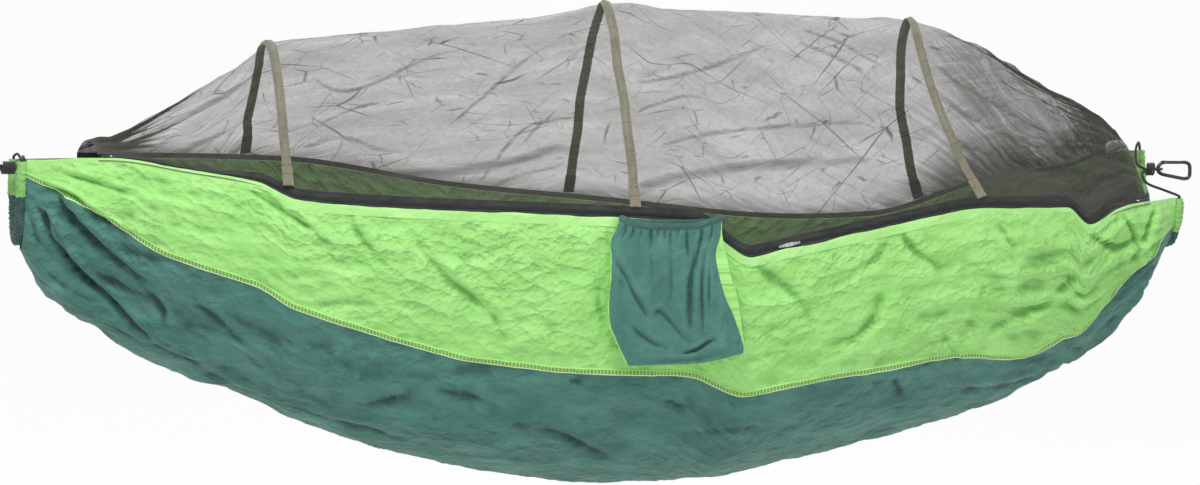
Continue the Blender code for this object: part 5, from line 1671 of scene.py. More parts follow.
@dataclass(frozen=True)
class Zip:
    """The zip along the front rim and the dark hem that joins the net to the rear rim."""

    shape: HammockShape
    tape_thickness: float = 0.0008
    coil_thickness: float = 0.0022
    step: float = 0.012
    tooth: float = 0.0016
    stop_inset: float = 0.02
    meeting_share: float = 0.264
    slider_length: float = 0.011
    slider_height: float = 0.008
    plate: float = 0.0009
    clearance: float = 0.0004
    tape_set_back: float = 0.0010
    hem_thickness: float = 0.0009
    hem_drop: float = 0.016
    hem_rise: float = 0.0036
    crown_length: float = 0.007
    crown_clearance: float = 0.0017
    crown_thickness: float = 0.0008
    crown_width: float = 0.0014
    tab_length: float = 0.018
    tab_width: float = 0.005
    tab_thickness: float = 0.0009

    def line(self, step: float, rear: bool = False, whole: bool = False) -> list[tuple[Vector, Vector, Vector]]:
        """Places so far apart along a rim, each with the unit ways inwards and up of what stands on it.

        Args:
            step: How far apart the places are.
            rear: Whether it is the rear rim.
            whole: Whether it runs on past the net to the ends of the panels.

        Returns:
            Rows of place, way inwards and way up.
        """
        low, high = self.shape.net_ends()
        if whole:
            low, high = -self.shape.panel_end() - 0.003, self.shape.panel_end() + 0.003
        places = [float(x) for x in np.linspace(low, high, round((high - low) / step) + 1)]
        if rear:
            points = [Section.at(self.shape, x).point(math.pi) for x in places]
        else:
            points = [self.shape.front_edge(x) for x in places]
        line = []
        for k, place in enumerate(points):
            ahead = points[min(k + 1, len(points) - 1)] - points[max(k - 1, 0)]
            inwards = level_left(ahead)
            tilt = 0.0 if rear else self.shape.zip_tilt(place.x)
            line.append((place, inwards * math.cos(tilt) - UP * math.sin(tilt),
                         UP * math.cos(tilt) + inwards * math.sin(tilt)))
        return line

    def build_rim_hem(self, finishes: Finishes) -> None:
        """Makes the folded lime hem on the front rim, just before the zip, in a lighter copy of the lime as a painted
        highlight.
        """
        thick, near = self.hem_thickness, 0.0006
        rings = []
        for place, _, _ in self.line(0.006, whole=True):
            x = place.x
            ahead = self.shape.front_edge(x + 0.003) - self.shape.front_edge(x - 0.003)
            side = level_left(ahead)
            rise = self.hem_rise + wave(x * 14, 5.0, 1.0) * 0.0030 + wave(x * 45, 5.0, 9.0) * 0.0008
            top = max(0.0018, rise)
            outer = -(near + thick)
            outline = ((-near, -self.hem_drop), (outer, -self.hem_drop), (outer - 0.0002, -self.hem_drop * 0.6),
                       (outer - 0.0002, -0.003), (outer - 0.0001, top - 0.0009), (outer + thick * 0.5, top),
                       (outer + thick, top - 0.0009), (-near, -0.003))
            rings.append([place + side * across + Vector((0, 0, up)) for across, up in outline])
        piece = Modelling.loft("hem_front", rings)
        Piece.dress(piece, finishes.rim_hem_painted_highlight, "lime_nylon", "hammock", angle=60)

    def build_band(self, name: str, low: float, high: float, thickness: float, rear: bool, finishes: Finishes,
                   node: str, shift: float = 0.0) -> None:
        """Makes an upright woven band on a rim, with rounded edges and a slight ripple.

        Args:
            name: The piece's name.
            low: Its lower edge's height over the rim.
            high: Its upper edge's height over the rim.
            thickness: How thick it is.
            rear: Whether it is on the rear rim.
            finishes: The finishes.
            node: The node that it stands for.
            shift: How far it is set back from the rim's line.
        """
        half, bead = thickness / 2, 0.0008
        outline = ((-half * 0.5, low), (half * 0.5, low), (half, low + bead), (half * 0.8, (low + high) / 2),
                   (half, high - bead), (half * 0.5, high), (-half * 0.5, high), (-half, high - bead),
                   (-half * 0.8, (low + high) / 2), (-half, low + bead))
        rings = []
        for k, (place, side, over) in enumerate(self.line(self.step, rear)):
            ring = []
            for across, up in outline:
                share = (up - low) / (high - low)
                ripple = wave(k * 0.31, low * 900, 3.0) * 0.0006 * math.sin(math.pi * share)
                ring.append(place + side * (across + ripple + shift) + over * up)
            rings.append(ring)
        piece = Modelling.loft(name, rings)
        Piece.dress(piece, finishes.net_hem if rear else finishes.zip_tape, "zip_tape", "hammock", node)

    def build_coil(self, name: str, low: float, node: str, finishes: Finishes) -> None:
        """Makes one half of the coil, swelled at each of its teeth, up to the middle where it meets the other."""
        tall, deep = (self.shape.coil_half_height + self.shape.coil_space / 2) / 2, self.coil_thickness / 2
        rings = []
        for k, (place, side, over) in enumerate(self.line(self.tooth / 2)):
            swell = 1.0 if k % 2 else 0.78
            centre = place + over * (low + tall)
            rings.append([centre + side * math.cos(a) * deep * swell + over * math.sin(a) * tall * swell
                          for a in turns_round(8)])
        Piece.dress(Modelling.loft(name, rings), finishes.coil, "zip_coil", "hammock", node, angle=35)

    def frame(self) -> Matrix:
        """The frame on the zip's middle line where the sliders meet: X along it, Y inwards and Z across it."""
        start, end = self.shape.zip_run()
        along = (end - start).normalized()
        inward = level_left(along)
        x = self.meeting_share * self.shape.half_length
        place = start.lerp(end, (x - start.x) / (end.x - start.x)) + Vector((0, 0, self.shape.zip_middle()))
        return frame_at(place + ORIGIN, along, inward, along.cross(inward))

    def block(self, name: str, size: Sequence[float], place: Sequence[float], bevel: float,
              nose: float = 1.0, nose_way: int = 1) -> Object:
        """Adds a block in the slider's frame, tapered to one end and with its edges rounded.

        Args:
            name: The block's name.
            size: Its size along, through and across the zip.
            place: Its middle in the frame.
            bevel: How far its edges are rounded.
            nose: The share of its height that is left at its far end.
            nose_way: The sign of X at that end.

        Returns:
            The block, still at the frame's origin.
        """
        Modelling.deselect()
        bpy.ops.mesh.primitive_cube_add(size=1, location=place, scale=size)
        piece = Modelling.name_active(name)
        Modelling.settle(piece)
        Modelling.edit(piece)
        bpy.ops.mesh.subdivide(number_cuts=1)
        bpy.ops.object.mode_set(mode="OBJECT")
        for vertex in piece.data.vertices:
            share = max(0.0, nose_way * (vertex.co.x - place[0]) / (size[0] / 2))
            vertex.co.z = place[2] + (vertex.co.z - place[2]) * (1 - (1 - nose) * share)
        round_off = piece.modifiers.new("edges", "BEVEL")
        round_off.width, round_off.segments, round_off.limit_method = bevel, 3, "ANGLE"
        Modelling.apply(piece)
        return piece

    def build_slider(self, side: Side, finishes: Finishes) -> None:
        """Makes one slider and its pull tab."""
        outward, name = side.outward, side.value
        middle = self.slider_length / 2 + self.shape.gap
        frame = self.frame() @ Matrix.Translation((outward * middle, 0, 0))
        inner = self.coil_thickness / 2 + self.clearance
        mid, outer = inner + self.plate / 2, inner + self.plate
        long, tall = self.slider_length, self.slider_height
        thick, width = self.crown_thickness, self.crown_width
        arm, top = (self.crown_length - thick) / 2, outer + self.crown_clearance
        foot = (thick, self.crown_clearance + 0.0006, width)
        down = -(outer + self.crown_clearance / 2 - 0.0001)
        parts = [
            self.block("plate_front", (long, self.plate, tall), (0, -mid, 0), 0.0003, 0.72, outward),
            self.block("plate_back", (long, self.plate, tall), (0, mid, 0), 0.0003, 0.72, outward),
            self.block("web", (long * 0.45, 2 * inner + 0.0004, 0.0006), (outward * long * 0.2, 0, 0), 0.0001),
            self.block("crown_foot", foot, (-arm, down, 0), 0.0002),
            self.block("crown_foot", foot, (arm, down, 0), 0.0002),
            self.block("crown_bar", (self.crown_length, thick, width), (0, -top - thick / 2, 0), 0.0003),
        ]
        self.join(parts, f"slider_{name}", frame)
        Piece.dress(parts[0], finishes.nickel, "slider_metal", *[f"zip_slider_{name}"] * 2, angle=40)

        pivot = frame @ Matrix.Translation((0, -outer - self.crown_clearance / 2, 0))
        thin = self.tab_thickness
        centre = outward * (self.tab_length / 2 - thin / 2)
        tab = self.block("tab", (self.tab_length, thin, self.tab_width), (centre, 0, 0), 0.00025, 0.82, outward)
        for place, size in (((outward * 0.0037, 0, 0), (0.0065, 0.004, 0.0022)),
                            ((outward * 0.0125, 0, 0), (0.0050, 0.004, 0.0018))):
            Modelling.cut(tab, self.block("tab_hole", size, place, 0.0004))
        self.join([tab], f"pull_tab_{name}", pivot)
        Piece.dress(tab, finishes.nickel, "slider_metal", *[f"zip_pull_tab_{name}"] * 2, angle=40)

    def join(self, parts: Sequence[Object], name: str, frame: Matrix) -> None:
        """Joins parts made in a frame into one piece, and puts it in its place."""
        Modelling.only(parts[0])
        for part in parts:
            part.select_set(True)
        if len(parts) > 1:
            bpy.ops.object.join()
        piece = bpy.context.object
        piece.name = piece.data.name = name
        piece.matrix_world = frame
        Modelling.settle(piece)

    def build_stop(self, side: Side, finishes: Finishes) -> None:
        """Makes the folded metal stop on the coil near one end."""
        x = self.shape.net_ends()[side is Side.RIGHT] - side.outward * self.stop_inset
        ahead = self.shape.front_edge(x + 0.004) - self.shape.front_edge(x - 0.004)
        along = ahead.normalized()
        level, tilt = level_left(along), self.shape.zip_tilt(x)
        inward = level * math.cos(tilt) - along.cross(level) * math.sin(tilt)
        over = along.cross(inward)
        place = self.shape.front_edge(x) + over * self.shape.zip_middle() + ORIGIN
        near = self.coil_thickness / 2 + 0.0005
        tall = 2 * (self.shape.coil_half_height + self.shape.coil_space / 2)
        stop = self.block("stop", (0.004, 0.0008, tall), (0, -near - 0.0004, 0), 0.00025)
        rib = self.block("stop_rib", (0.0012, 0.0003, tall * 0.8), (0, -near - 0.0009, 0), 0.0001)
        self.join([stop, rib], f"stop_{side.value}", frame_at(place, along, inward, over))
        Piece.dress(stop, finishes.nickel, "slider_metal", "hammock", f"zip_stop_{side.value}", angle=40)

    def build(self, finishes: Finishes) -> None:
        """Makes the zip and the rear hem."""
        shape = self.shape
        coil, middle = shape.coil_bottom(), shape.zip_middle()
        thin, back = self.tape_thickness, self.tape_set_back
        self.build_band("tape_lower", -0.004, middle - 0.0001, thin, False, finishes, "zip_lower_tape", back)
        self.build_coil("coil_lower", coil, "zip_coil_lower", finishes)
        self.build_coil("coil_upper", middle, "zip_coil_upper", finishes)
        self.build_band("tape_upper", middle + 0.0001, shape.zip_height() + 0.003, thin, False, finishes,
                        "zip_upper_tape", back)
        self.build_rim_hem(finishes)
        self.build_band("hem_rear", shape.gap, shape.rear_hem_height, 0.0016, True, finishes, "net_rear_hem")
        for side in Side:
            self.build_slider(side, finishes)
            self.build_stop(side, finishes)


@dataclass(frozen=True)
class StorageSack:
    """The pouch on the front rim: a teal front on a lime back, a gathered hem and the elastic in it."""

    shape: HammockShape
    hinge: Vector = Vector((0.077, -0.340976, -0.018511))
    puff: float = 0.012
    wall: float = 0.0014
    hem_wall: float = 0.0009
    hem_height: float = 0.0125
    elastic_height: float = 0.006
    fold_gap: float = 0.0003
    most_move: float = 0.0095
    front_columns: int = 120
    back_columns: int = 50
    rows: int = 92
    left_edge: Table = (
        (-0.02, -0.1095), (0.0, -0.112), (0.047, -0.1306), (0.0784, -0.1278), (0.1242, -0.1285), (0.175, -0.1321),
        (0.2134, -0.1289), (0.2489, -0.1149), (0.31, -0.085),
    )
    right_edge: Table = (
        (-0.02, 0.1005), (0.0047, 0.1022), (0.03, 0.1009), (0.068, 0.0916), (0.114, 0.0996), (0.157, 0.1124),
        (0.1955, 0.1307), (0.2463, 0.1489), (0.264, 0.1541), (0.28, 0.152),
    )
    lime_edge: Table = (
        (-0.02, 0.1012), (0.0047, 0.1035), (0.03, 0.1050), (0.068, 0.114), (0.109, 0.123), (0.157, 0.1386),
        (0.2158, 0.1489), (0.2514, 0.1535), (0.264, 0.1553), (0.28, 0.1532),
    )
    bottom: Table = ((-1, 0.301), (-0.2, 0.2985), (0.3, 0.295), (0.7, 0.2855), (1, 0.2755))
    puffs: Table = ((0, 0.5), (0.05, 0.52), (0.25, 0.85), (0.57, 1.0), (0.78, 0.8), (0.93, 0.4), (1, 0.16))
    folds: tuple[DragFold, ...] = drag_folds(
        (((625.5, 219), (625, 230), (622, 242)), 1.3, 0.0038),
        (((633.5, 219), (633, 230), (630, 241)), 1.3, 0.0035),
        (((641, 221), (641, 232), (640, 239)), 1.1, 0.0022),
        (((649.5, 224), (650.8, 236), (649.5, 252)), 1.6, 0.0049),
        (((657, 226), (657, 234), (656, 239)), 1.1, 0.0022),
        (((664, 227), (664.4, 236), (664, 242)), 1.4, 0.0038),
        (((669, 227), (669.4, 240), (671, 256)), 1.3, 0.0032),
        (((677, 227), (677, 233), (676, 239)), 1.2, 0.0027),
        (((685.5, 226), (686, 244), (688, 262)), 1.6, 0.0049),
        (((698.5, 222), (700, 236), (696, 256), (693, 270)), 2.0, 0.0059),
        (((704, 221), (703, 236), (701, 252)), 1.3, 0.0038),
        (((710, 219), (710, 232), (707, 246)), 1.3, 0.0027),
        (((694, 256), (690, 285), (690, 312), (691, 332)), 3.6, 0.0105),
        (((704, 250), (701, 280), (702, 310), (704, 335)), 2.2, 0.0046),
        (((708, 262), (708, 292), (708, 318)), 2.0, 0.0035),
        (((712, 250), (716, 276), (719, 290)), 2.4, 0.0038),
        (((668, 245), (671, 280), (672, 316)), 3.0, 0.002),
        (((650, 250), (652, 270), (652, 292)), 2.6, 0.0019),
        (((612, 256), (622, 270), (634, 293), (646, 312), (652, 320)), 3.0, 0.0062),
        (((616, 275), (624, 286), (630, 301)), 2.6, 0.0035),
        (((630, 322), (642, 334), (656, 343), (674, 348)), 3.0, 0.0054),
        (((652, 322), (658, 311), (668, 318), (684, 336), (697, 345)), 2.6, 0.0041),
        (((681, 353.5), (697, 348), (708, 341), (718, 338)), 2.0, 0.0078),
        (((640, 362), (668, 361), (700, 358), (724, 351)), 2.6, 0.0041),
        (((737, 345), (741, 336), (738, 322)), 2.4, 0.0032),
    )

    def middle(self) -> float:
        """How far in front of the hinge the middle of the mouth lies."""
        return 0.0021 + self.puff * 0.5

    def mouth(self, across: float, front: float) -> float:
        """How far the mouth's edge hangs below the hinge: across is -1 to 1, front 1, or 0 on the sewn half."""
        ends = -0.0125 * abs(across) ** 3
        sag = 0.0058 * (1 - abs(across) ** 2.4)
        return ends * (0.55 + 0.45 * front) + sag * front - 0.0015 * (1 - front) * (1 - across * across)

    def ripple(self, turn: float, drop: float) -> float:
        """The gathers of the hem at an angle round the mouth, in metres outwards."""
        phase = turn * 23 + 2.2 * wave(math.cos(turn) * 2.2, math.sin(turn) * 2.2, 5.0)
        fine = wave(turn * 22.0, drop * 160.0, 9.0)
        return 0.00050 * math.sin(phase * 2) + 0.00055 * fine

    def mouth_point(self, turn: float, swell: float, drop: float) -> Vector:
        """A point of the hem, its fold or the elastic.

        Args:
            turn: The angle round the mouth, 0 at the right end and half a turn at the left.
            swell: How far outside the pouch's wall it lies.
            drop: How far below the mouth's edge it lies.

        Returns:
            The point.
        """
        across, deep = math.cos(turn), math.sin(turn)
        front = ease(0.5 - deep * 1.4)
        height = self.mouth(across, front) + drop
        left, right = smooth_share(self.left_edge, height), smooth_share(self.right_edge, height)
        centre, half = (left + right) / 2, (right - left) / 2
        depth = self.puff * 0.5
        wave = self.ripple(turn, height) * (1.0 if swell > 0 else 0.6)
        open_more = 0.0035 * front * max(0.0, 1 - across * across)
        return self.hinge + Vector((
            centre + (half + swell) * across, -self.middle() + (depth + swell + wave) * deep - open_more, -height,
        ))

    def build_band(self, name: str, section: Sequence[tuple[float, float]], finish: Material, slot: str,
                   node: str, angle: float) -> None:
        """Makes a band round the mouth from its cross-section of (swell, drop) points."""
        count = 240
        rings = [[self.mouth_point(2 * math.pi * k / count, swell, drop) for swell, drop in section]
                 for k in range(count)]
        Piece.dress(Modelling.loft(name, rings, wrap=True), finish, slot, "storage_sack", node, angle=angle)

    def pouch_ring(self, share: float, wall: float) -> list[Vector]:
        """One ring of the pouch: front from left to right, the lime edge, and the back from right to left.

        Args:
            share: The way down from the hem's fold to the bottom seam, from 0 to 1.
            wall: How far inside the outer surface it lies.

        Returns:
            The ring's points.
        """
        deep = self.puff * smooth_share(self.puffs, share)
        ring = []

        def add(x: float, y: float, drop: float) -> None:
            """Adds the point at a place along, inwards from the mouth's middle and below the hinge."""
            ring.append(self.hinge + Vector((x, -self.middle() + y, -drop)))

        for k in range(self.front_columns + 1):
            across = -math.cos(math.pi * k / self.front_columns)
            drop = self.drop_at(share, across, 1.0)
            bulge = max(0.0, 1 - across * across) ** 0.42
            left, right = (smooth_share(edge, drop) for edge in (self.left_edge, self.right_edge))
            left, right = left + wall, right - wall
            out = deep - wall + self.open_front(across, share)
            add(left + (right - left) * (across + 1) / 2, -out * bulge, drop)
        for k in range(1, 5):
            drop = self.drop_at(share, 1.0, 1.0)
            inner, outer = smooth_share(self.right_edge, drop), smooth_share(self.lime_edge, drop)
            outer = max(outer, inner + 0.0012) if wall == 0 else inner - wall + 0.0001 * k
            inner -= wall
            add(inner + (outer - inner) * k / 4, 0.0003, drop)
        for k in range(self.back_columns + 1):
            across = math.cos(math.pi * k / self.back_columns)
            drop = self.drop_at(share, across, 0.0)
            bulge = max(0.0, 1 - across * across) ** 0.5
            left = smooth_share(self.left_edge, drop) - (0.0026 if wall == 0 else -wall)
            right = smooth_share(self.lime_edge, drop) if wall == 0 else smooth_share(self.right_edge, drop) - wall
            back = max(0.0, min(deep, self.middle() - 0.0022) - wall)
            add(left + (right - left) * (across + 1) / 2, 0.0006 + back * bulge, drop)
        return ring

    @staticmethod
    def open_front(across: float, share: float) -> float:
        """How much further out the front of the mouth hangs than the pouch below it."""
        return 0.0035 * max(0.0, 1 - across * across) * (1 - ease(share * 2.2))

    def drop_at(self, share: float, across: float, front: float) -> float:
        """How far below the hinge a place of the pouch lies."""
        top = self.mouth(across, front) + self.hem_wall + self.elastic_height + 3 * self.fold_gap
        return top + (smooth_share(self.bottom, across) - top) * share

    def build_pouch(self, finishes: Finishes) -> None:
        """Makes the pouch with its folds and its lime back."""
        shares = [k / self.rows for k in range(self.rows + 1)]
        outer = [self.pouch_ring(s, 0.0) for s in shares]
        inner = [self.pouch_ring(s, self.wall) for s in shares[:-1]]
        inner.append(self.pouch_ring(1.0 - 0.004, self.wall))
        front = self.front_columns + 1
        moves = self.front_moves(as_array([ring[:front] for ring in outer]), shares)
        # Painted shade: the front's hollows are marked for the sack's nylon to darken
        marks = np.zeros((2 * len(outer) + 1, len(outer[0])))
        marks[:len(outer), :front] = np.clip((blurred(moves, 4) - moves - 0.0003) / 0.0024, 0, 1)[::-1]
        for rings in (outer, inner):
            for ring, row in zip(rings, moves):
                for j, move in enumerate(row):
                    ring[j] = ring[j] - Y_WAY * move
        tight = [p.lerp(sum(inner[-1], Vector()) / len(inner[-1]), 0.2) for p in inner[-1]]
        rings = [*outer[::-1], *inner, tight]
        piece = Modelling.loft("sack_pouch", rings, marks=marks)
        Piece.dress(piece, (finishes.sack, finishes.lime), "teal_nylon", "storage_sack", "storage_sack", angle=60)
        for polygon in piece.data.polygons:
            polygon.material_index = int(self.is_back(polygon.center - ORIGIN))

    def is_back(self, place: Vector) -> bool:
        """Whether a face belongs to the lime back and its edges."""
        spot = place - self.hinge
        left, right = smooth_share(self.left_edge, -spot.z), smooth_share(self.right_edge, -spot.z)
        return spot.y > -self.middle() or spot.x > right + 0.0002 or spot.x < left - 0.0002

    def front_moves(self, places: np.ndarray, shares: Sequence[float]) -> np.ndarray:
        """How far the folds move each point of the front outwards."""
        spots = Picture().of(places)
        moves = sum(fold.lift(spots) for fold in self.folds)
        ways = -np.cos(math.pi * np.arange(moves.shape[1]) / self.front_columns)
        for i, share in enumerate(shares):
            for j, across in enumerate(ways):
                x, _, z = places[i, j]
                gather = self.ripple(-math.acos(across), -z) * (1 - ease(share * 5))
                broad = wave(x * 9, z * 7, 51.0) * 0.0022
                drape = (ridged(x * 30, z * 3.0, 53.0, 1.4) - 0.45) * 0.0022 * (1 - 0.5 * share)
                facets = crumple(x * 34, z * 28, 57.0) * 0.0008
                moves[i, j] += gather + broad + drape + facets
        fade = np.clip((1 - np.abs(ways)) / 0.10, 0, 1)[None, :]
        lows = np.clip((1 - np.array(shares)) / 0.04, 0, 1)[:, None]
        highs = 0.25 + 0.75 * np.clip((np.array(shares) - 0.012) / 0.03, 0, 1)[:, None]
        return np.clip(moves * fade * lows * highs, -self.most_move, self.most_move)

    def build(self, finishes: Finishes) -> None:
        """Makes the pouch, its folded hem and the elastic."""
        self.build_pouch(finishes)
        leg = self.wall / 2 + self.fold_gap + 0.0004
        fold, tall, top = leg + self.hem_wall, self.hem_height, self.hem_wall
        bead = 0.0004
        hem = ((fold - bead, 0), (fold, bead), (fold + 0.0003, tall * 0.45), (fold, tall - 0.0022),
               (fold - 0.0005, tall - 0.0015), (fold, tall - 0.0008), (fold - bead, tall), (leg, tall), (leg, top),
               (-leg, top), (-leg, tall), (-fold + bead, tall), (-fold, tall - 0.0008), (-fold, bead),
               (-fold + bead, 0))
        self.build_band("sack_hem", hem, finishes.hem, "teal_nylon", "storage_sack_hem", 55)
        half, low = self.wall / 2 - 0.0001, self.hem_wall + self.fold_gap
        high = low + self.elastic_height
        elastic = ((half, low), (half, high), (-half, high), (-half, low))
        self.build_band("sack_elastic", elastic, finishes.elastic, "elastic", "storage_sack_elastic", 40)


@dataclass(frozen=True)
class GatheredEnd:
    """One end of the hammock: the ruched channel, the cord through it and the lashing behind the carabiner."""

    shape: HammockShape
    side: Side
    turns: int
    bar_offset: Vector
    pull: tuple[Vector, Vector]
    front_route: tuple[tuple[float, float, float], ...]
    rear_route: tuple[tuple[float, float, float], ...]
    cord_radius: float = 0.0028
    bore_slack: float = 0.0012
    lashing_radius: float = 0.0025
    lashing_slack: float = 0.0004
    pitch_gap: float = 0.0005
    strand_gap: float = 0.005
    bar_radius: float = 0.004
    channel_knots: int = 17
    channel_steps: int = 11
    channel_sides: int = 40
    turn_points: int = 26
    lime_share: float = 0.62

    def end(self) -> Vector:
        """The cloth's end on the middle line at the rim's level."""
        return Vector((self.side.outward * self.shape.half_length, 0, 0))

    def channel_line(self) -> Route:
        """The channel's middle line through the same points as the solid's."""
        shape, outward = self.shape, self.side.outward
        x = outward * (shape.half_length - shape.channel_radius - shape.channel_ruche)
        front, rear = shape.front_edge(x), shape.rear_rim(x)
        sag = (front.z + rear) / 2 - shape.keel(x)
        route = []
        for k in range(self.channel_knots):
            angle = math.pi * k / (self.channel_knots - 1)
            mix = (1 - math.cos(angle)) / 2
            route.append(Vector((x - shape.skew(shape.half_length) * mix * (outward > 0),
                                 -shape.wide(x) * math.cos(angle),
                                 front.z + (rear - front.z) * mix - sag * math.sin(angle))))
        return route

    def ruche(self, way: float, turn: float, along: float) -> float:
        """The channel's radius at a place: deep irregular pleats that lean a little round the tube.

        Args:
            way: The way along the channel in metres.
            turn: The angle round it.
            along: The same way from 0 to 1.

        Returns:
            The radius in metres.
        """
        seed = 3.0 * self.side.outward
        round_x, round_y = math.cos(turn), math.sin(turn)
        lean = 0.004 * math.sin(turn + seed) + 0.006 * wave(round_x * 1.3, round_y * 1.3, way * 30)
        phase = (way + lean) / 0.0085 + 1.6 * wave(way * 30, seed, 2.0)
        pleat = 1 - abs((phase % 1.0) * 2 - 1) ** 0.9
        depth = 0.55 + 0.75 * wave(way * 70, round_x * 1.6 + seed, round_y * 1.6)
        rough = wave(way * 240, round_x * 2.6 + seed, round_y * 2.6)
        swell = wave(way * 38, round_x * 0.8 + seed, round_y * 0.8 + 8.0)
        mouth = 1 - 0.16 * (1 - ease(min(along, 1 - along) * 16))
        radius = self.shape.channel_radius + 0.0042 * depth * (pleat - 0.55) + 0.0016 * rough + 0.0022 * swell
        return max(radius, 0.0062) * mouth

    def build_channel(self, finishes: Finishes) -> None:
        """Makes the ruched tube round the gathering cord, lime at the rims and teal between."""
        route = smooth_route(self.channel_line(), self.channel_steps)
        lengths = ways_along(route)
        bore = self.cord_radius + self.bore_slack
        inner = rings_along(route, [bore] * len(route), self.channel_sides, X_WAY)
        outer = []
        for k, (place, ring) in enumerate(zip(route, inner)):
            shaped = []
            for n, point in enumerate(ring):
                turn = 2 * math.pi * n / self.channel_sides
                radius = self.ruche(lengths[k], turn, lengths[k] / lengths[-1])
                shaped.append(place + (point - place).normalized() * radius)
            outer.append(shaped)
        piece = Modelling.loft(f"channel_{self.side.value}", outer + inner[::-1], wrap=True)
        Piece.dress(piece, (finishes.channel_lime, finishes.channel_teal), "lime_nylon", "hammock",
                    f"end_channel_{self.side.value}", angle=70)
        x = self.end().x
        front, rear = self.shape.front_edge(x).z, self.shape.rear_rim(x)
        sag = (front + rear) / 2 - self.shape.keel(x)
        lime_drop = sag * max(math.sin(self.shape.seam_angles(x)[0]), self.lime_share)
        for polygon in piece.data.polygons:
            place = polygon.center - ORIGIN
            mix = 0.5 + 0.5 * max(-1.0, min(1.0, place.y / self.shape.wide(route[0].x)))
            drop = front + (rear - front) * mix - place.z
            polygon.material_index = int(drop > lime_drop + 0.003 * noise.noise(place * 60))

    def build_cord(self, finishes: Finishes) -> None:
        """Makes the braided cord: round the carabiner's bar, down to the channel, through it and back up."""
        bar = self.end() + self.bar_offset
        along, across = self.pull
        wide, near = self.bar_radius + self.cord_radius + self.bore_slack, self.cord_radius + self.strand_gap / 2
        back = self.bar_radius + self.lashing_radius
        free = back + self.turns * self.pitch() + 2 * self.lashing_radius + self.shape.gap
        bight = [bar + along * wide * math.cos(a) + across * wide * math.sin(a)
                 for a in (math.pi / 2 - math.pi * k / 6 for k in range(7))]
        rear_side = [bar - along * free + across * near, bar - along * back + across * near]
        front_side = [bar - along * back - across * near, bar - along * free - across * near]
        front_free = [self.end() + Vector(p) for p in self.front_route]
        rear_free = [self.end() + Vector(p) for p in self.rear_route]
        channel = self.channel_line()
        rise = Vector((0, 0, 2 * self.cord_radius))
        head = smooth_route([*rear_side, *bight, *front_side], 6)
        down = smooth_route([front_side[1], *front_free, channel[0] + rise, channel[0]], 9)[1:-1]
        up = smooth_route([channel[-1], channel[-1] + rise, *reversed(rear_free), rear_side[0]], 9)[1:-1]
        loop = head + down + smooth_route(channel, 4) + up
        rings = rings_along(loop, [self.cord_radius] * len(loop), 16, UP, cyclic=True)
        piece = Modelling.loft(f"braided_cord_{self.side.value}", rings, wrap=True)
        Piece.dress(piece, finishes.cord, "cord", "hammock", f"gather_cord_{self.side.value}")

    def pitch(self) -> float:
        """How far apart the lashing's turns are."""
        return 2 * self.lashing_radius + self.pitch_gap

    def build_lashing(self, finishes: Finishes) -> None:
        """Makes the lashing that binds the two strands behind the carabiner."""
        bar = self.end() + self.bar_offset
        along, across = self.pull
        over = along.cross(across)
        radius = self.cord_radius + self.strand_gap / 2 + self.cord_radius + self.lashing_slack + self.lashing_radius
        radius /= math.cos(math.pi / 10)
        back = self.bar_radius + self.lashing_radius
        route = []
        for k in range(self.turns * self.turn_points + 1):
            turn = 2 * math.pi * k / self.turn_points
            here = bar - along * (back + self.lashing_radius + self.pitch() * turn / (2 * math.pi))
            route.append(here + (across * math.cos(turn) + over * math.sin(turn)) * radius)
        thin = self.lashing_radius
        first, last = (route[0] - route[1]).normalized(), (route[-1] - route[-2]).normalized()
        route = [route[0] + first * 0.0006, route[0] + first * 0.0003, *route, route[-1] + last * 0.0003,
                 route[-1] + last * 0.0006]
        radii = [thin * 0.55, thin * 0.86, *[thin] * (len(route) - 4), thin * 0.86, thin * 0.55]
        piece = Modelling.loft(f"whipping_{self.side.value}", rings_along(route, radii, 16, along))
        Piece.dress(piece, finishes.cord, "cord", "hammock", f"lashing_{self.side.value}")

    def build(self, finishes: Finishes) -> None:
        """Makes the channel, the cord and the lashing."""
        self.build_channel(finishes)
        self.build_cord(finishes)
        self.build_lashing(finishes)


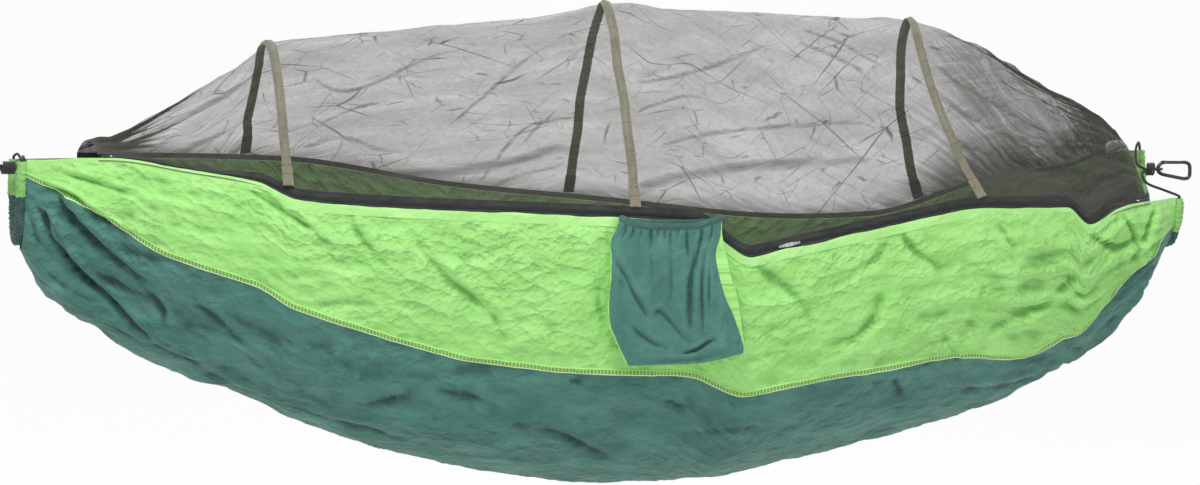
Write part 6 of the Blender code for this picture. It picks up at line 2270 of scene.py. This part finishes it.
@dataclass(frozen=True)
class Carabiner:
    """One carabiner: the bent alloy frame with its nose and tang, and the gate on its rivet."""

    side: Side
    bar: Vector
    along: Vector
    wide: Vector
    length: float = 0.078
    width: float = 0.044
    bar_radius: float = 0.004
    gate_radius: float = 0.0036
    nose_gap: float = 0.0006
    tang: float = 0.003
    pin_radius: float = 0.001
    spring_radius: float = 0.0016
    gate_heel: float = 0.0022
    gap: float = 0.0003
    sides: int = 24
    steps: int = 6
    line: Table = (
        (0.74, 0.4), (0.84, 0.4), (0.93, 0.35), (0.985, 0.22), (1.0, 0.06), (1.0, -0.3), (0.985, -0.42),
        (0.93, -0.53), (0.85, -0.56), (0.76, -0.545), (0.2, -0.335), (0.11, -0.28), (0.045, -0.2), (0.0, -0.09),
        (0.0, 0.09), (0.035, 0.22), (0.09, 0.33), (0.14, 0.385), (0.17, 0.4), (0.225, 0.4),
    )
    tang_knots: int = 3
    hinge_shares: tuple[float, float] = (0.205, 0.4)

    def spot(self, shares: Sequence[float]) -> Vector:
        """A place in the carabiner's own frame, with the inner bar's middle at the origin."""
        return Vector((shares[0] * (self.length - 2 * self.bar_radius), 0,
                       shares[1] * (self.width - 2 * self.bar_radius)))

    def matrix(self) -> Matrix:
        """From the carabiner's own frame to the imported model's."""
        return frame_at(self.bar + ORIGIN, self.along, self.wide.cross(self.along), self.wide)

    def finish(self, piece: Object, frame: Matrix, finishes: Finishes, body: str, node: str) -> None:
        """Puts a piece made about the origin into its place and dresses it."""
        piece.matrix_world = frame
        Modelling.settle(piece)
        Piece.dress(piece, finishes.alloy, "black_alloy", body, node, angle=38)

    def rings(self) -> list[list[Vector]]:
        """The frame's rings from the rounded nose to the flat tang."""
        route = smooth_route([self.spot(row) for row in self.line], self.steps)
        flat_from = (len(self.line) - self.tang_knots - 1) * self.steps
        nose = [(0.0, 0.52), (0.0004, 0.78), (0.0011, 0.95), (0.0022, 1.0)]
        rings = []
        for ahead, scale in nose:
            rings.append(ring_round(route[0] + X_WAY * ahead, UP, Y_WAY, self.bar_radius * scale, self.sides))
        for i in range(3, len(route)):
            ahead = (route[min(i + 1, len(route) - 1)] - route[i - 1]).normalized()
            across = Y_WAY.cross(ahead)
            share = ease((i - flat_from) / self.steps)
            flat = 1 + (self.tang / 2 / self.bar_radius - 1) * share
            rings.append(self.oval(route[i], across, flat, share))
        tail = rings[-1]
        centre = sum(tail, Vector()) / len(tail)
        rings.append([centre.lerp(p, 0.86) + Vector((0.0003, 0, 0)) for p in tail])
        return rings

    def oval(self, place: Vector, across: Vector, flat: float, squareness: float) -> list[Vector]:
        """A ring that goes from round to the tang's flat with rounded corners."""
        ring = []
        for turn in turns_round(self.sides):
            side, over = math.cos(turn), math.sin(turn)
            over = math.copysign(abs(over) ** (1 - 0.55 * squareness), over)
            ring.append(place + across * side * self.bar_radius + Y_WAY * over * self.bar_radius * flat)
        return ring

    def cylinder(self, radius: float, start: float, end: float, axis: str, place: Vector) -> Object:
        """Adds a round cutter along an axis from one place on it to another."""
        turn = (0, math.pi / 2, 0) if axis == "X" else (math.pi / 2, 0, 0)
        way = X_WAY if axis == "X" else Y_WAY
        Modelling.deselect()
        bpy.ops.mesh.primitive_cylinder_add(vertices=20, radius=radius, depth=end - start, rotation=turn,
                                            location=place + way * (start + end) / 2)
        return Modelling.name_active("cutter")

    def carve(self, piece: Object, cutters: Sequence[Object]) -> None:
        """Takes the cutters' shapes out of a piece and removes them."""
        for cutter in cutters:
            Modelling.settle(cutter)
            Modelling.cut(piece, cutter)

    def lathe(self, name: str, profile: Sequence[tuple[float, float]]) -> Object:
        """Turns a profile of (x, radius) points about X into a closed body, without moving it."""
        rings = [[Vector((x, math.cos(a) * r, math.sin(a) * r)) - ORIGIN for a in turns_round(self.sides)]
                 for x, r in profile]
        return Modelling.loft(name, rings)

    def build(self, finishes: Finishes) -> None:
        """Makes the frame and the gate, and leaves the rivet and the spring to their nodes."""
        name = self.side.value
        own = self.matrix()
        hinge = self.spot(self.hinge_shares)
        reach = self.gate_radius + 0.002
        frame = Modelling.loft(f"clip_frame_{name}", [[p - ORIGIN for p in ring] for ring in self.rings()])
        self.carve(frame, [self.cylinder(self.pin_radius + self.gap, -reach, reach, "Y", hinge)])
        self.finish(frame, own, finishes, f"carabiner_{name}", f"carabiner_frame_{name}")

        long = self.spot(self.line[0]).x - hinge.x - self.nose_gap
        r = self.gate_radius
        gate = self.lathe(f"clip_gate_{name}", (
            (-self.gate_heel, r * 0.8), (-self.gate_heel + 0.0005, r), (0.006, r), (0.0066, r * 0.95),
            (0.0072, r), (long - 0.0040, r), (long - 0.0034, r * 0.93), (long - 0.0028, r), (long - 0.0008, r),
            (long, r * 0.8),
        ))
        heel = self.bar_radius + 2 * self.gap
        slot_half = self.tang / 2 + self.gap
        Modelling.deselect()
        bpy.ops.mesh.primitive_cube_add(size=1, location=((heel - self.gate_heel - 0.002) / 2, 0, 0),
                                        scale=(heel + self.gate_heel + 0.002, 2 * slot_half, 4 * r))
        slot = Modelling.name_active("slot")
        self.carve(gate, [
            slot,
            self.cylinder(self.spring_radius + self.gap, heel - r / 2, heel + 0.0122, "X", Vector()),
            self.cylinder(self.pin_radius + self.gap, -reach, reach, "Y", Vector()),
        ])
        self.finish(gate, own @ Matrix.Translation(hinge), finishes, *[f"carabiner_gate_{name}"] * 2)


@dataclass(frozen=True)
class Studio:
    """The camera at the photograph's angle, a pale floor and soft light."""

    azimuth: float = math.radians(12)
    elevation: float = math.radians(4)
    roll: float = 0.0148
    frame_width: float = 2.5176
    distance: float = 20.0
    sensor: float = 36.0
    shift: tuple[float, float] = (-0.002, -0.0892)
    floor_height: float = -1.0
    world_strength: float = 0.60
    key_power: float = 138.0

    def place_camera(self) -> None:
        """Makes the camera, looking at the middle of the photograph's frame."""
        turn, rise = self.azimuth, self.elevation
        right = Vector((math.cos(turn), -math.sin(turn), 0))
        ahead = Vector((math.sin(turn) * math.cos(rise), math.cos(turn) * math.cos(rise), -math.sin(rise)))
        upwards = right.cross(ahead)
        target = ORIGIN + right * self.shift[0] + upwards * self.shift[1]
        rolled = (upwards - right * self.roll).normalized()
        level = ahead.cross(rolled).normalized()
        data = bpy.data.cameras.new("camera")
        data.sensor_width = self.sensor
        data.lens = self.sensor * self.distance / self.frame_width
        data.clip_start, data.clip_end = 0.1, 400.0
        camera = bpy.data.objects.new("camera", data)
        bpy.context.scene.collection.objects.link(camera)
        camera.matrix_world = frame_at(target - ahead * self.distance, level, rolled, -ahead)
        bpy.context.scene.camera = camera

    @staticmethod
    def white_to_eye(tree: bpy.types.NodeTree, lit: Socket, out: Socket, shade_kept: float) -> None:
        """Mixes a shader with plain white wherever the camera, gloss or glass looks at it.

        Args:
            tree: The node tree.
            lit: The shader that lights and takes shade.
            out: Where the mixed shader goes.
            shade_kept: The share of the lit shader that those rays still see.
        """
        def add(kind: str, *sources: Socket) -> bpy.types.Node:
            """Adds a node and wires its first inputs."""
            made = tree.nodes.new("ShaderNode" + kind)
            for source, socket in zip(sources, made.inputs):
                tree.links.new(source, socket)
            return made

        path = add("LightPath").outputs
        either = add("Math", path["Is Camera Ray"], path["Is Glossy Ray"])
        looked = add("Math", either.outputs[0], path["Is Transmission Ray"])
        either.operation = looked.operation = "MAXIMUM"
        scale = add("Math", looked.outputs[0])
        scale.operation = "MULTIPLY"
        scale.inputs[1].default_value = 1.0 - shade_kept
        glow = add("Emission" if lit.node.type != "BACKGROUND" else "Background")
        glow.inputs["Color"].default_value = (1, 1, 1, 1)
        glow.inputs["Strength"].default_value = 1.0
        mix = add("MixShader", scale.outputs[0], lit, glow.outputs[0])
        tree.links.new(mix.outputs[0], out)

    def lay_floor(self) -> None:
        """Lays the pale floor, far enough below for a hanging object."""
        Modelling.deselect()
        bpy.ops.mesh.primitive_plane_add(size=240, location=ORIGIN + Vector((0, 0, self.floor_height)))
        floor = Modelling.name_active("studio_floor")
        Modelling.settle(floor)
        pale = bpy.data.materials.new("pale_floor")
        pale.use_nodes = True
        tree = pale.node_tree
        shader = tree.nodes["Principled BSDF"]
        shader.inputs["Base Color"].default_value = (0.86, 0.86, 0.85, 1)
        shader.inputs["Roughness"].default_value = 0.9
        self.white_to_eye(tree, shader.outputs[0], tree.nodes["Material Output"].inputs["Surface"], 0.06)
        floor.data.materials.append(pale)
        floor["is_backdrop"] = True

    def light(self) -> None:
        """Sets the even world light and the soft key light from the upper left front."""
        world = bpy.data.worlds.new("studio_world")
        bpy.context.scene.world = world
        world.use_nodes = True
        tree = world.node_tree
        sky = tree.nodes["Background"]
        sky.inputs["Color"].default_value = (1.0, 1.0, 1.0, 1)
        sky.inputs["Strength"].default_value = self.world_strength
        self.white_to_eye(tree, sky.outputs[0], tree.nodes["World Output"].inputs["Surface"], 0.0)
        for name, place, size, power in (
            ("key_light", Vector((-1.1, -3.1, 3.7)), 1.4, self.key_power),
            ("fill_light", Vector((2.6, 3.0, 2.4)), 2.4, self.key_power * 0.35),
        ):
            data = bpy.data.lights.new(name, "AREA")
            data.shape, data.size, data.energy = "DISK", size, power
            lamp = bpy.data.objects.new(name, data)
            bpy.context.scene.collection.objects.link(lamp)
            lamp.location = ORIGIN + place
            lamp.rotation_euler = (-place).to_track_quat("-Z", "Y").to_euler()

    def build(self) -> None:
        """Sets up the whole studio."""
        self.place_camera()
        self.lay_floor()
        self.light()
        bpy.context.scene.view_settings.view_transform = "Standard"


def gathered_ends(shape: HammockShape) -> list[GatheredEnd]:
    """The two gathered ends, with the cords' routes repeated from the part."""
    tilt = math.radians(29)
    lean = Vector((0, math.cos(tilt), math.sin(tilt)))
    return [
        GatheredEnd(shape, Side.LEFT, 5, Vector((-0.029, 0, 0.066)), (-X_WAY, lean),
                    ((0.022, -0.013, 0.07), (0.022, -0.027, 0.083), (0.018, -0.041, 0.092)),
                    ((0.022, 0.013, 0.072), (0.022, 0.027, 0.085), (0.018, 0.041, 0.092))),
        GatheredEnd(shape, Side.RIGHT, 3, Vector((-0.043, 0, 0.067)), (X_WAY, Y_WAY),
                    ((-0.081, -0.012, 0.056), (-0.072, -0.022, 0.038), (-0.04, -0.037, 0.025)),
                    ((-0.087, 0.01, 0.078), (-0.086, 0.024, 0.106), (-0.076, 0.041, 0.121))),
    ]


def carabiners(ends: Sequence[GatheredEnd]) -> list[Carabiner]:
    """The two carabiners: the left one flopped over backwards, the right one straight out."""
    left, right = ends
    tilt, flop = math.radians(29), math.radians(95)
    lean = Vector((0, math.cos(tilt), math.sin(tilt)))
    wide = Vector((0, -math.sin(tilt), math.cos(tilt)))
    along = -X_WAY * math.cos(flop) + lean * math.sin(flop)
    return [
        Carabiner(Side.LEFT, left.end() + left.bar_offset, along, wide),
        Carabiner(Side.RIGHT, right.end() + right.bar_offset, X_WAY, UP),
    ]


def corners(box: tuple[Vector, Vector]) -> list[list[float]]:
    """A box's two corners as plain lists."""
    return [[float(v) for v in corner] for corner in box]


def main() -> None:
    logging.basicConfig(level=logging.INFO, format="%(name)s: %(message)s")
    noise.seed_set(NOISE_SEED)
    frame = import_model()
    cad_box = corners(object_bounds())
    finishes = Finishes()
    shape = HammockShape()
    Studio().build()
    HullCloth(shape).build(finishes)
    MosquitoNet(shape).build(finishes)
    for name, x in zip(("left", "middle", "right"), shape.arch_places()):
        Arch(shape, name, x).build(finishes)
    Zip(shape).build(finishes)
    StorageSack(shape).build(finishes)
    ends = gathered_ends(shape)
    for end in ends:
        end.build(finishes)
    for carabiner in carabiners(ends):
        carabiner.build(finishes)
    for side in Side:
        Piece.dress_node(frame, f"carabiner_gate_pin_{side.value}", finishes.steel)
        Piece.dress_node(frame, f"carabiner_gate_spring_{side.value}", finishes.spring)
    {"cad": cad_box, "visual": corners(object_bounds())}


if __name__ == "__main__":
    main()
